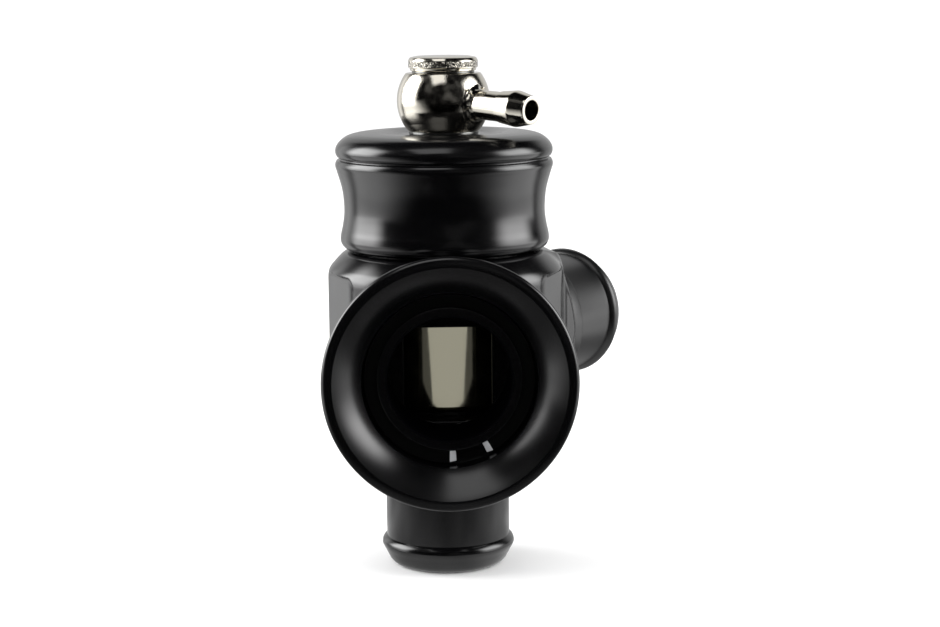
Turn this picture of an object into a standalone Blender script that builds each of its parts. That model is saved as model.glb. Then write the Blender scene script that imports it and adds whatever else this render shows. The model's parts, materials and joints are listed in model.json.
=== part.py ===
"""Blow off valve with two outlets: a sprung piston in a turned body, a trumpet at the front, a hose tail
at the back right, a hose tail at the bottom and a banjo fitting on the cap. Metres, +Z up."""

import math

import bmesh
import bpy
from mathutils import Matrix, Vector

MM = 0.001

# Fits and how round things are
GAP = 0.3 * MM
THIN_GAP = 0.1 * MM
TURN_STEPS = 32
SMALL_STEPS = 24
ARC_STEPS = 2

# Hose tails
TUBE_RADIUS = 12.5 * MM
TUBE_WALL = 2.3 * MM
BEAD_HEIGHT = 0.95 * MM
BEAD_FROM_END = 4.1 * MM
NOSE_TAPER = 0.4 * MM
TAIL_REACH = 18.6 * MM
COLLAR_STEP = 2.0 * MM
COLLAR_LENGTH = 3.9 * MM
SPIGOT_STEP = 0.2 * MM
SPIGOT_LENGTH = 6.5 * MM

# O-rings
O_RING_THICKNESS = 1.4 * MM
O_RING_GROOVE_DEPTH = 1.3 * MM
O_RING_GROOVE_WIDTH = 1.9 * MM

# Body, turned
COLUMN_RADIUS = 23.7 * MM
BASE_RIM = 5.4 * MM
SHOULDER_DROP = 3.7 * MM
SHOULDER_RADIUS = 20.0 * MM
NECK_RADIUS = 17.2 * MM
NECK_HEIGHT = 10.0 * MM
INLET_WEB = 2.9 * MM
SEAT_LIP_HEIGHT = 0.8 * MM
SEAT_LIP_WALL = 1.4 * MM
GALLERY_RADIUS = 17.0 * MM
GALLERY_HEIGHT = 18.1 * MM

# Body, milled
FLAT_ANGLE = math.radians(72)
FLAT_DISTANCE = 22.0 * MM
FLAT_HALF_WIDTH = 9.0 * MM
FLAT_TOP_DROP = 4.2 * MM
FLAT_BOTTOM_RISE = 7.7 * MM
FLAT_CORNER = 3.0 * MM
PAD_WALL = 3.5 * MM
PAD_FACE = 24.0 * MM
PAD_REACH = 28.8 * MM
PAD_RIM = 3.7 * MM
PAD_FLAT_HEIGHT = 7.0 * MM
PAD_ROOT_DEPTH = 0.7 * MM
PAD_EDGE = 2.0 * MM

# Ports
TRUMPET_BOSS_LIFT = 2.4 * MM
TRUMPET_FACE = 21.5 * MM
TRUMPET_BOSS_RIM = 4.25 * MM
TRUMPET_BOSS_DEPTH = 11.5 * MM
TRUMPET_SPOTFACE_RIM = 1.2 * MM
TRUMPET_SPOTFACE_DEPTH = 0.5 * MM
TRUMPET_NECK_RADIUS = 13.75 * MM
TRUMPET_NECK_LENGTH = 9.9 * MM
TRUMPET_NECK_WALL = 2.0 * MM
RECIRC_RISE = 2.8 * MM
PORT_HEADROOM = 5.4 * MM
BOSS_HEADROOM = 2.8 * MM
RECIRC_ANGLE = math.radians(38.5)
PORT_INNER_END = 16.4 * MM

# Trumpet
TRUMPET_REACH = 38.0 * MM
TRUMPET_LIP_RADIUS = 24.1 * MM
TRUMPET_LIP_ROUND = 1.2 * MM
TRUMPET_BELL_WALL = 1.4 * MM
TRUMPET_THROAT_EDGE = 0.6 * MM
TRUMPET_MOUTH_DROP = 0.35 * MM
TRUMPET_FLARE_BULGE = 0.66 * MM
TRUMPET_BASE_LENGTH = 6.0 * MM
SNAP_RING_THICKNESS = 1.3 * MM
SNAP_RING_WIDTH = 3.1 * MM
SNAP_RING_GROOVE_DEPTH = 0.8 * MM
SNAP_RING_SETBACK = 0.9 * MM
SNAP_RING_OPENING = math.radians(26)
SNAP_RING_TURN = math.radians(15)

# Cap
CAP_HEIGHT = 22.7 * MM
CAP_ROOF = 4.0 * MM
CAP_LIP_RADIUS = 20.9 * MM
CAP_LIP_Z = 1.9 * MM
CAP_WAIST_RADIUS = 20.05 * MM
CAP_WAIST_Z = 8.1 * MM
CAP_CREASE_RADIUS = 21.1 * MM
CAP_CREASE_Z = 16.0 * MM
CAP_BEAD_RADIUS = 21.6 * MM
CAP_BEAD_Z = 16.9 * MM
CAP_GROOVE_RADIUS = 20.8 * MM
CAP_GROOVE_Z = 18.1 * MM
CAP_LID_ROUND = 3.0 * MM
CAP_CHAMBER_RADIUS = 11.8 * MM

# Piston and spring
PISTON_RADIUS = 13.4 * MM
PISTON_LENGTH = 28.2 * MM
PISTON_FLOOR = 3.7 * MM
PISTON_WALL = 2.4 * MM
PISTON_CHAMFER = 0.9 * MM
PISTON_RING_HEIGHT = 1.6 * MM
PISTON_RING_DEPTH = 1.0 * MM
PISTON_RING_TOP = 2.5 * MM
PISTON_RING_PITCH = 5.5 * MM
SPRING_WIRE = 2.2 * MM
SPRING_RADIUS = 8.9 * MM
SPRING_TURNS = 7
SPRING_SEAT_THICKNESS = 0.8 * MM
SPRING_SEAT_HOLE = 6.5 * MM

# Banjo fitting
EYE_RADIUS = 9.25 * MM
EYE_HEIGHT = 11.7 * MM
EYE_BORE_RADIUS = 5.6 * MM
WASHER_RADIUS = 7.05 * MM
WASHER_THICKNESS = 0.6 * MM
BOLT_RADIUS = 4.7 * MM
BOLT_WAIST_RADIUS = 3.9 * MM
BOLT_HOLLOW_RADIUS = 2.2 * MM
BOLT_HOLLOW_BEYOND = 2.0 * MM
BOLT_HOLLOW_POINT = 0.6 * MM
BOLT_HEAD_RADIUS = 6.9 * MM
BOLT_HEAD_HEIGHT = 2.4 * MM
BOLT_BELOW_ROOF = 3.0 * MM
CROSS_HOLE_RADIUS = 1.5 * MM
BANJO_ANGLE = math.radians(46.5)
BANJO_DROP = math.radians(3)
BANJO_REACH = 22.9 * MM
BANJO_TUBE_RADIUS = 2.9 * MM
BANJO_HOLE_RADIUS = 2.0 * MM
BARB_RADIUS = 3.5 * MM
BARB_FROM_END = 4.3 * MM
BARB_MOUTH_RADIUS = 2.75 * MM
SOCKET_DEPTH = 2.75 * MM

# How far cutters reach beyond the metal
CUT_BEYOND = 5 * MM

# Heights and radii that follow
TUBE_BORE_RADIUS = TUBE_RADIUS - TUBE_WALL
COLLAR_RADIUS = TUBE_RADIUS + COLLAR_STEP
SPIGOT_RADIUS = TUBE_RADIUS - SPIGOT_STEP
BEAD_RADIUS = TUBE_RADIUS + BEAD_HEIGHT
NOSE_RADIUS = TUBE_RADIUS - NOSE_TAPER
SPIGOT_BORE_RADIUS = SPIGOT_RADIUS + GAP
BASE_RADIUS = SPIGOT_BORE_RADIUS + BASE_RIM
PAD_HALF_WIDTH = SPIGOT_BORE_RADIUS + PAD_WALL
TRUMPET_BOSS_RADIUS = TRUMPET_NECK_RADIUS + TRUMPET_BOSS_RIM
TRUMPET_SPOTFACE_RADIUS = TRUMPET_BOSS_RADIUS + TRUMPET_SPOTFACE_RIM
TRUMPET_SPOTFACE = TRUMPET_FACE - TRUMPET_SPOTFACE_DEPTH
TRUMPET_PORT_RADIUS = TRUMPET_NECK_RADIUS - TRUMPET_NECK_WALL
COLLAR_BASE_Z = TAIL_REACH + COLLAR_LENGTH
BODY_BASE_Z = COLLAR_BASE_Z + GAP
INLET_BORE_TOP_Z = COLLAR_BASE_Z + SPIGOT_LENGTH + GAP
GALLERY_FLOOR_Z = INLET_BORE_TOP_Z + INLET_WEB
GALLERY_ROOF_Z = GALLERY_FLOOR_Z + GALLERY_HEIGHT
SEAT_Z = GALLERY_FLOOR_Z + SEAT_LIP_HEIGHT
TRUMPET_AXIS_Z = BODY_BASE_Z + TRUMPET_BOSS_RADIUS + TRUMPET_BOSS_LIFT
RECIRC_AXIS_Z = TRUMPET_AXIS_Z + RECIRC_RISE
SHOULDER_TOP_Z = max(
    TRUMPET_AXIS_Z + TRUMPET_BOSS_RADIUS + BOSS_HEADROOM,
    RECIRC_AXIS_Z + SPIGOT_BORE_RADIUS + PORT_HEADROOM,
)
FLAT_TOP_Z = SHOULDER_TOP_Z - FLAT_TOP_DROP
FLAT_BOTTOM_Z = BODY_BASE_Z + FLAT_BOTTOM_RISE
PAD_TAPER_DROP = SPIGOT_BORE_RADIUS + PAD_RIM - PAD_FLAT_HEIGHT / 2
NECK_TOP_Z = SHOULDER_TOP_Z + NECK_HEIGHT
GUIDE_RADIUS = PISTON_RADIUS + GAP
CAP_BASE_Z = SHOULDER_TOP_Z + GAP
CAP_TOP_Z = CAP_BASE_Z + CAP_HEIGHT
CAP_CEILING_Z = CAP_TOP_Z - CAP_ROOF
CAP_SKIRT_RADIUS = NECK_RADIUS + GAP
CAP_SKIRT_TOP_Z = NECK_TOP_Z + GAP
PISTON_BASE_Z = SEAT_Z + GAP
PISTON_TOP_Z = PISTON_BASE_Z + PISTON_LENGTH
SPRING_SEAT_Z = CAP_CEILING_Z - THIN_GAP - SPRING_SEAT_THICKNESS
EYE_BASE_Z = CAP_TOP_Z + WASHER_THICKNESS + 2 * THIN_GAP
EYE_TOP_Z = EYE_BASE_Z + EYE_HEIGHT
EYE_MIDDLE_Z = (EYE_BASE_Z + EYE_TOP_Z) / 2
HEAD_BASE_Z = EYE_TOP_Z + WASHER_THICKNESS + 2 * THIN_GAP
RECIRC_COLLAR_BASE = PAD_FACE + GAP
RECIRC_REACH = RECIRC_COLLAR_BASE + COLLAR_LENGTH + TAIL_REACH

# The piston's axis stands where the object's box has its centre at the origin
RECIRC_SIDE_X = RECIRC_REACH * math.sin(RECIRC_ANGLE) + NOSE_RADIUS * math.cos(RECIRC_ANGLE)
RECIRC_BACK_Y = RECIRC_REACH * math.cos(RECIRC_ANGLE) + NOSE_RADIUS * math.sin(RECIRC_ANGLE)
AXIS_X = (TRUMPET_LIP_RADIUS - RECIRC_SIDE_X) / 2
AXIS_Y = (TRUMPET_REACH - RECIRC_BACK_Y) / 2


def clear_scene():
    for old in list(bpy.data.objects):
        bpy.data.objects.remove(old, do_unlink=True)


def material(name, colour, roughness, metallic):
    made = bpy.data.materials.new(name)
    made.use_nodes = True
    shader = made.node_tree.nodes["Principled BSDF"]
    shader.inputs["Base Color"].default_value = (*colour, 1.0)
    shader.inputs["Roughness"].default_value = roughness
    shader.inputs["Metallic"].default_value = metallic
    return made


def empty(name, parent, location, rotation=(0, 0, 0)):
    frame = bpy.data.objects.new(name, None)
    bpy.context.scene.collection.objects.link(frame)
    frame.parent = parent
    frame.location = location
    frame.rotation_euler = rotation
    return frame


def add_object(name, mesh, parent, finish=None):
    made = bpy.data.objects.new(name, mesh)
    bpy.context.scene.collection.objects.link(made)
    made.parent = parent
    if finish is not None:
        made.data.materials.append(finish)
    return made


def mesh_from(name, bm):
    bmesh.ops.recalc_face_normals(bm, faces=bm.faces)
    mesh = bpy.data.meshes.new(name)
    bm.to_mesh(mesh)
    bm.free()
    mesh.shade_smooth()
    mesh.set_sharp_from_angle(angle=math.radians(35))
    return mesh


def filleted(corners):
    """Turns (radius, height, fillet) corners of a closed outline into points, each fillet as an arc."""
    points = []
    for index, (radius, height, fillet) in enumerate(corners):
        corner = Vector((radius, height))
        if fillet == 0:
            points.append(corner)
            continue
        before = Vector(corners[index - 1][:2]) - corner
        after = Vector(corners[(index + 1) % len(corners)][:2]) - corner
        half = before.angle(after) / 2
        reach = min(fillet / math.tan(half), 0.45 * before.length, 0.45 * after.length)
        arc_radius = reach * math.tan(half)
        middle = corner + (before.normalized() + after.normalized()).normalized() * reach / math.cos(half)
        start = corner + before.normalized() * reach - middle
        end = corner + after.normalized() * reach - middle
        sweep = start.angle_signed(end)
        for step in range(ARC_STEPS + 1):
            turned = start.copy()
            turned.rotate(Matrix.Rotation(-sweep * step / ARC_STEPS, 2))
            points.append(middle + turned.normalized() * arc_radius)
    return points


def arc_through(first, middle, last, steps):
    """Points of the circular arc through three points, both ends left out."""
    a, b, c = Vector(first), Vector(middle), Vector(last)
    d = 2 * (a.x * (b.y - c.y) + b.x * (c.y - a.y) + c.x * (a.y - b.y))
    aa, bb, cc = a.length_squared, b.length_squared, c.length_squared
    centre_x = (aa * (b.y - c.y) + bb * (c.y - a.y) + cc * (a.y - b.y)) / d
    centre_y = (aa * (c.x - b.x) + bb * (a.x - c.x) + cc * (b.x - a.x)) / d
    centre = Vector((centre_x, centre_y))
    start = a - centre
    sweep = start.angle_signed(c - centre)
    found = []
    for step in range(1, steps):
        turned = start.copy()
        turned.rotate(Matrix.Rotation(-sweep * step / steps, 2))
        found.append((centre.x + turned.x, centre.y + turned.y, 0))
    return found


def quarter_ellipse(centre, reach, steps):
    """Points from the top of an ellipse to its side nearest the axis."""
    turns = [math.pi / 2 * (1 - step / steps) for step in range(steps + 1)]
    return [(centre[0] - reach[0] * math.cos(t), centre[1] + reach[1] * math.sin(t), 0) for t in turns]


def turned_mesh(name, corners, steps=TURN_STEPS, cutter=False):
    """A closed outline spun round Z. Points on the axis close up into one. A cutter, or a piece that is
    joined to another on the same axis, starts half a step round, so that their edges don't fall together."""
    points = filleted(corners)
    start = math.pi / steps if cutter else 0
    bm = bmesh.new()
    cosine, sine = math.cos(start), math.sin(start)
    verts = [bm.verts.new((point.x * cosine, point.x * sine, point.y)) for point in points]
    edges = []
    for first, second in zip(verts, verts[1:] + verts[:1]):
        if abs(first.co.x) > 0 or abs(second.co.x) > 0:
            edges.append(bm.edges.new((first, second)))
    bmesh.ops.spin(
        bm, geom=verts + edges, cent=(0, 0, 0), axis=(0, 0, 1), angle=2 * math.pi, steps=steps, use_merge=True
    )
    bmesh.ops.remove_doubles(bm, verts=bm.verts, dist=1e-7)
    return mesh_from(name, bm)


def ring_mesh(name, ring_radius, wire_radius, sides=6, steps=SMALL_STEPS):
    """An O-ring lying flat."""
    corners = []
    for side in range(sides):
        turn = 2 * math.pi * (side + 0.5) / sides
        corners.append((ring_radius + wire_radius * math.cos(turn), wire_radius * math.sin(turn), 0))
    return turned_mesh(name, corners, steps)


def box_mesh(name, low, high, corner=0.0, corner_axis=0):
    """A box from low to high. With a corner radius, its edges along one axis are rounded."""
    bm = bmesh.new()
    bmesh.ops.create_cube(bm, size=1.0)
    for vert in bm.verts:
        for axis in range(3):
            vert.co[axis] = low[axis] if vert.co[axis] < 0 else high[axis]
    if corner > 0:
        along = [e for e in bm.edges if abs((e.verts[0].co - e.verts[1].co).normalized()[corner_axis]) > 0.9]
        bmesh.ops.bevel(bm, geom=along, offset=corner, segments=ARC_STEPS, affect="EDGES", profile=0.5)
    return mesh_from(name, bm)


def rod_mesh(name, radius, start, end, steps=SMALL_STEPS):
    """A plain cylinder for cutting holes."""
    corners = [(0, start, 0), (radius, start, 0), (radius, end, 0), (0, end, 0)]
    return turned_mesh(name, corners, steps, cutter=True)


def boolean(target, tool, operation):
    """Joins a tool to a piece or cuts it away, and hides the tool."""
    change = target.modifiers.new(operation.title() + " " + tool.name, "BOOLEAN")
    change.operation = operation
    change.solver = "EXACT"
    change.object = tool
    tool.hide_render = True
    tool.display_type = "WIRE"


def tail_corners():
    """Hose tail outline, its end at height 0 and its spigot at the top."""
    collar_top = COLLAR_BASE_Z
    groove_low = collar_top + (SPIGOT_LENGTH - O_RING_GROOVE_WIDTH) / 2
    groove_high = groove_low + O_RING_GROOVE_WIDTH
    groove_radius = SPIGOT_RADIUS - O_RING_GROOVE_DEPTH
    return [
        (TUBE_BORE_RADIUS, 0, 0),
        (NOSE_RADIUS, 0, 0.9 * MM),
        (BEAD_RADIUS, BEAD_FROM_END - BEAD_HEIGHT / 2, 0.5 * MM),
        (BEAD_RADIUS, BEAD_FROM_END + BEAD_HEIGHT / 2, 0.4 * MM),
        (TUBE_RADIUS, BEAD_FROM_END + 1.6 * BEAD_HEIGHT, 0),
        (TUBE_RADIUS, TAIL_REACH, 0),
        (COLLAR_RADIUS, TAIL_REACH, 0),
        (COLLAR_RADIUS, collar_top, 0),
        (SPIGOT_RADIUS, collar_top, 0),
        (SPIGOT_RADIUS, groove_low, 0),
        (groove_radius, groove_low, 0),
        (groove_radius, groove_high, 0),
        (SPIGOT_RADIUS, groove_high, 0),
        (SPIGOT_RADIUS, collar_top + SPIGOT_LENGTH, 0),
        (TUBE_BORE_RADIUS, collar_top + SPIGOT_LENGTH, 0),
    ]


def body_corners():
    """The body's outside before milling."""
    groove_low = SHOULDER_TOP_Z + O_RING_GROOVE_WIDTH
    groove_high = groove_low + O_RING_GROOVE_WIDTH
    groove_radius = NECK_RADIUS - O_RING_GROOVE_DEPTH
    chamfer = COLUMN_RADIUS - BASE_RADIUS
    return [
        (0, BODY_BASE_Z, 0),
        (BASE_RADIUS, BODY_BASE_Z, 0),
        (COLUMN_RADIUS, BODY_BASE_Z + chamfer, 0.8 * MM),
        (COLUMN_RADIUS, SHOULDER_TOP_Z - SHOULDER_DROP, 0.8 * MM),
        (SHOULDER_RADIUS, SHOULDER_TOP_Z, 1.2 * MM),
        (NECK_RADIUS, SHOULDER_TOP_Z, 0),
        (NECK_RADIUS, groove_low, 0),
        (groove_radius, groove_low, 0),
        (groove_radius, groove_high, 0),
        (NECK_RADIUS, groove_high, 0),
        (NECK_RADIUS, NECK_TOP_Z - 0.8 * MM, 0),
        (NECK_RADIUS - 0.8 * MM, NECK_TOP_Z, 0),
        (0, NECK_TOP_Z, 0),
    ]


def inside_corners():
    """What is bored out of the body along its axis: inlet bore, seat, gallery and guide bore."""
    lip_radius = TUBE_BORE_RADIUS + SEAT_LIP_WALL
    return [
        (0, BODY_BASE_Z - CUT_BEYOND, 0),
        (SPIGOT_BORE_RADIUS, BODY_BASE_Z - CUT_BEYOND, 0),
        (SPIGOT_BORE_RADIUS, INLET_BORE_TOP_Z, 0),
        (TUBE_BORE_RADIUS, INLET_BORE_TOP_Z, 0),
        (TUBE_BORE_RADIUS, SEAT_Z, 0),
        (lip_radius, SEAT_Z, 0),
        (lip_radius, GALLERY_FLOOR_Z, 0),
        (GALLERY_RADIUS, GALLERY_FLOOR_Z, 0),
        (GALLERY_RADIUS, GALLERY_ROOF_Z, 0),
        (GUIDE_RADIUS, GALLERY_ROOF_Z, 0),
        (GUIDE_RADIUS, NECK_TOP_Z + CUT_BEYOND, 0),
        (0, NECK_TOP_Z + CUT_BEYOND, 0),
    ]


def trumpet_neck_corners():
    """Boss and neck for the trumpet, heights measured out from the piston's axis."""
    end = TRUMPET_FACE + TRUMPET_NECK_LENGTH
    ring_high = end - SNAP_RING_SETBACK
    ring_low = ring_high - SNAP_RING_THICKNESS - GAP
    ring_floor = TRUMPET_NECK_RADIUS - SNAP_RING_GROOVE_DEPTH
    seal_low = TRUMPET_FACE + O_RING_GROOVE_WIDTH
    seal_high = seal_low + O_RING_GROOVE_WIDTH
    seal_floor = TRUMPET_NECK_RADIUS - O_RING_GROOVE_DEPTH
    return [
        (0, TRUMPET_FACE - TRUMPET_BOSS_DEPTH, 0),
        (TRUMPET_BOSS_RADIUS, TRUMPET_FACE - TRUMPET_BOSS_DEPTH, 0),
        (TRUMPET_BOSS_RADIUS, TRUMPET_FACE, 0),
        (TRUMPET_NECK_RADIUS, TRUMPET_FACE, 0),
        (TRUMPET_NECK_RADIUS, seal_low, 0),
        (seal_floor, seal_low, 0),
        (seal_floor, seal_high, 0),
        (TRUMPET_NECK_RADIUS, seal_high, 0),
        (TRUMPET_NECK_RADIUS, ring_low, 0),
        (ring_floor, ring_low, 0),
        (ring_floor, ring_high, 0),
        (TRUMPET_NECK_RADIUS, ring_high, 0),
        (TRUMPET_NECK_RADIUS, end, 0.3 * MM),
        (0, end, 0),
    ]


def make_body(root, trumpet_axis, recirc_axis, finish):
    body = add_object("body", turned_mesh("body", body_corners()), root, finish)
    for side in (-1, 1):
        turn = math.pi / 2 - FLAT_ANGLE
        frame = empty(f"flat_frame_{side}", root, (0, 0, 0), (0, 0, -side * turn))
        ends = sorted((side * FLAT_DISTANCE, side * 2 * COLUMN_RADIUS))
        low = (ends[0], -FLAT_HALF_WIDTH, FLAT_BOTTOM_Z)
        high = (ends[1], 2 * FLAT_HALF_WIDTH, FLAT_TOP_Z)
        cutter = add_object(f"flat_cutter_{side}", box_mesh("flat", low, high, FLAT_CORNER), frame)
        boolean(body, cutter, "DIFFERENCE")
    taper_radius = COLUMN_RADIUS - PAD_ROOT_DEPTH
    half = PAD_FLAT_HEIGHT / 2
    belly = [
        (0, RECIRC_AXIS_Z - half - PAD_TAPER_DROP, 0),
        (taper_radius, RECIRC_AXIS_Z - half - PAD_TAPER_DROP, 0),
        (PAD_REACH, RECIRC_AXIS_Z - half, PAD_EDGE),
        (PAD_REACH, RECIRC_AXIS_Z + half, PAD_EDGE),
        (taper_radius, RECIRC_AXIS_Z + half + PAD_TAPER_DROP, 0),
        (0, RECIRC_AXIS_Z + half + PAD_TAPER_DROP, 0),
    ]
    pad = add_object("pad", turned_mesh("pad", belly, cutter=True), root)
    side_low = (-PAD_HALF_WIDTH, -2 * PAD_REACH, CUT_BEYOND)
    side_high = (PAD_HALF_WIDTH, 2 * PAD_REACH, 2 * PAD_REACH)
    side = box_mesh("pad_sides", side_low, side_high)
    boolean(pad, add_object("pad_sides", side, recirc_axis), "INTERSECT")
    boolean(body, pad, "UNION")
    spot = rod_mesh("spotface", TRUMPET_SPOTFACE_RADIUS, TRUMPET_SPOTFACE, TRUMPET_REACH, TURN_STEPS)
    boolean(body, add_object("trumpet_spotface", spot, trumpet_axis), "DIFFERENCE")
    boss = add_object("trumpet_boss", turned_mesh("trumpet_boss", trumpet_neck_corners()), trumpet_axis)
    boolean(body, boss, "UNION")
    face = box_mesh(
        "recirc_face", (-2 * PAD_REACH, -PAD_REACH, PAD_FACE), (2 * PAD_REACH, PAD_REACH, 2 * PAD_REACH)
    )
    boolean(body, add_object("recirc_face", face, recirc_axis), "DIFFERENCE")
    inside = turned_mesh("inside", inside_corners(), cutter=True)
    boolean(body, add_object("inside", inside, root), "DIFFERENCE")
    front = rod_mesh("trumpet_port", TRUMPET_PORT_RADIUS, PORT_INNER_END, TRUMPET_REACH, TURN_STEPS)
    boolean(body, add_object("trumpet_port", front, trumpet_axis), "DIFFERENCE")
    back = rod_mesh("recirc_port", SPIGOT_BORE_RADIUS, PORT_INNER_END, 2 * PAD_FACE, TURN_STEPS)
    boolean(body, add_object("recirc_port", back, recirc_axis), "DIFFERENCE")


def make_hose_tail(name, frame, finish, rubber):
    """A tail whose end is at the frame's origin and whose spigot points along the frame's Z."""
    add_object(name + "_hose_tail", turned_mesh(name + "_hose_tail", tail_corners()), frame, finish)
    seal_radius = (SPIGOT_RADIUS - O_RING_GROOVE_DEPTH + SPIGOT_BORE_RADIUS) / 2
    seal_mesh = ring_mesh(name + "_o_ring", seal_radius, O_RING_THICKNESS / 2)
    seal = add_object(name + "_o_ring", seal_mesh, frame, rubber)
    seal.location = (0, 0, COLLAR_BASE_Z + SPIGOT_LENGTH / 2)


def trumpet_corners():
    """The bell's wall, heights measured out from the piston's axis."""
    base = TRUMPET_FACE + GAP
    bore = TRUMPET_NECK_RADIUS + GAP
    end = TRUMPET_FACE + TRUMPET_NECK_LENGTH
    step = end - SNAP_RING_SETBACK - SNAP_RING_THICKNESS - 2 * GAP
    throat = TRUMPET_NECK_RADIUS - SNAP_RING_GROOVE_DEPTH + GAP + SNAP_RING_WIDTH + GAP
    mouth = TRUMPET_LIP_RADIUS - 1.5 * TRUMPET_LIP_ROUND
    flare_start = end - SNAP_RING_SETBACK
    low = Vector((throat, flare_start + TRUMPET_THROAT_EDGE))
    high = Vector((mouth, TRUMPET_REACH - TRUMPET_MOUTH_DROP))
    along = (high - low).normalized()
    crown = (low + high) / 2 + TRUMPET_FLARE_BULGE * Vector((-along.y, along.x))
    flare = [(*low, 0), *arc_through(low, crown, high, 6), (*high, 0)]
    back_high = TRUMPET_REACH - TRUMPET_LIP_ROUND - TRUMPET_BELL_WALL
    back_low = base + TRUMPET_BASE_LENGTH
    back = quarter_ellipse(
        (TRUMPET_LIP_RADIUS, back_low),
        (TRUMPET_LIP_RADIUS - TRUMPET_BOSS_RADIUS, back_high - back_low),
        4,
    )
    lip = [(TRUMPET_LIP_RADIUS, TRUMPET_REACH, TRUMPET_LIP_ROUND)]
    root = [(TRUMPET_BOSS_RADIUS, base, 0.4 * MM), (bore, base, 0), (bore, step, 0), (throat, step, 0)]
    return flare + lip + back + root


def make_trumpet(frame, finish, rubber, spring_steel):
    add_object("trumpet", turned_mesh("trumpet", trumpet_corners()), frame, finish)
    seal_radius = TRUMPET_NECK_RADIUS - O_RING_GROOVE_DEPTH / 2 + GAP / 2
    seal_mesh = ring_mesh("trumpet_o_ring", seal_radius, O_RING_THICKNESS / 2)
    seal = add_object("trumpet_o_ring", seal_mesh, frame, rubber)
    seal.location = (0, 0, TRUMPET_FACE + 1.5 * O_RING_GROOVE_WIDTH)
    inner = TRUMPET_NECK_RADIUS - SNAP_RING_GROOVE_DEPTH + GAP
    outer = inner + SNAP_RING_WIDTH
    high = TRUMPET_FACE + TRUMPET_NECK_LENGTH - SNAP_RING_SETBACK - GAP / 2
    low = high - SNAP_RING_THICKNESS
    bm = bmesh.new()
    corners = [(inner, low), (outer, low), (outer, high), (inner, high)]
    # The ring starts at the far end of its opening and runs round to the near end
    start = Matrix.Rotation(-math.pi / 2 - SNAP_RING_TURN + SNAP_RING_OPENING / 2, 3, "Z")
    face = bm.faces.new([bm.verts.new(start @ Vector((radius, 0, height))) for radius, height in corners])
    bmesh.ops.spin(
        bm,
        geom=list(face.verts) + list(face.edges) + [face],
        cent=(0, 0, 0),
        axis=(0, 0, 1),
        angle=2 * math.pi - SNAP_RING_OPENING,
        steps=TURN_STEPS,
    )
    bmesh.ops.remove_doubles(bm, verts=bm.verts, dist=1e-7)
    add_object("trumpet_snap_ring", mesh_from("trumpet_snap_ring", bm), frame, spring_steel)


def cap_corners():
    """The cap, heights from its own bottom edge: skirt, waist, bead, groove and rounded lid. Inside, the
    step above the skirt stops the piston at full lift, and the chamber above it holds the spring."""
    lip = (CAP_LIP_RADIUS, CAP_LIP_Z)
    waist = (CAP_WAIST_RADIUS, CAP_WAIST_Z)
    crease = (CAP_CREASE_RADIUS, CAP_CREASE_Z)
    bolt_hole = BOLT_RADIUS + GAP
    groove_width = CAP_BEAD_Z - CAP_CREASE_Z
    outside = [
        (CAP_SKIRT_RADIUS, 0, 0),
        (CAP_LIP_RADIUS - 0.9 * MM, 0, 0),
        (*lip, 0.8 * MM),
        *arc_through(lip, waist, crease, 6),
        (*crease, 0),
        (CAP_BEAD_RADIUS, CAP_BEAD_Z, 0.4 * MM),
        (CAP_GROOVE_RADIUS, CAP_GROOVE_Z, 0),
        (CAP_BEAD_RADIUS, CAP_GROOVE_Z + groove_width, 0),
        (CAP_BEAD_RADIUS, CAP_HEIGHT, CAP_LID_ROUND),
    ]
    inside = [
        (bolt_hole, CAP_HEIGHT, 0),
        (bolt_hole, CAP_HEIGHT - CAP_ROOF, 0),
        (CAP_CHAMBER_RADIUS, CAP_HEIGHT - CAP_ROOF, 0),
        (CAP_CHAMBER_RADIUS, CAP_SKIRT_TOP_Z - CAP_BASE_Z, 0),
        (CAP_SKIRT_RADIUS, CAP_SKIRT_TOP_Z - CAP_BASE_Z, 0),
    ]
    return outside + inside


def make_cap(root, finish, rubber):
    cap = add_object("cap", turned_mesh("cap", cap_corners()), root, finish)
    cap.location = (0, 0, CAP_BASE_Z)
    seal_radius = (NECK_RADIUS - O_RING_GROOVE_DEPTH + CAP_SKIRT_RADIUS) / 2
    seal = add_object("cap_o_ring", ring_mesh("cap_o_ring", seal_radius, O_RING_THICKNESS / 2), root, rubber)
    seal.location = (0, 0, SHOULDER_TOP_Z + 1.5 * O_RING_GROOVE_WIDTH)


def ring_groove_heights():
    """Lower and upper ring grooves, each as its lowest height above the piston's base."""
    upper = PISTON_LENGTH - PISTON_RING_TOP - PISTON_RING_HEIGHT
    return upper - PISTON_RING_PITCH, upper


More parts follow.
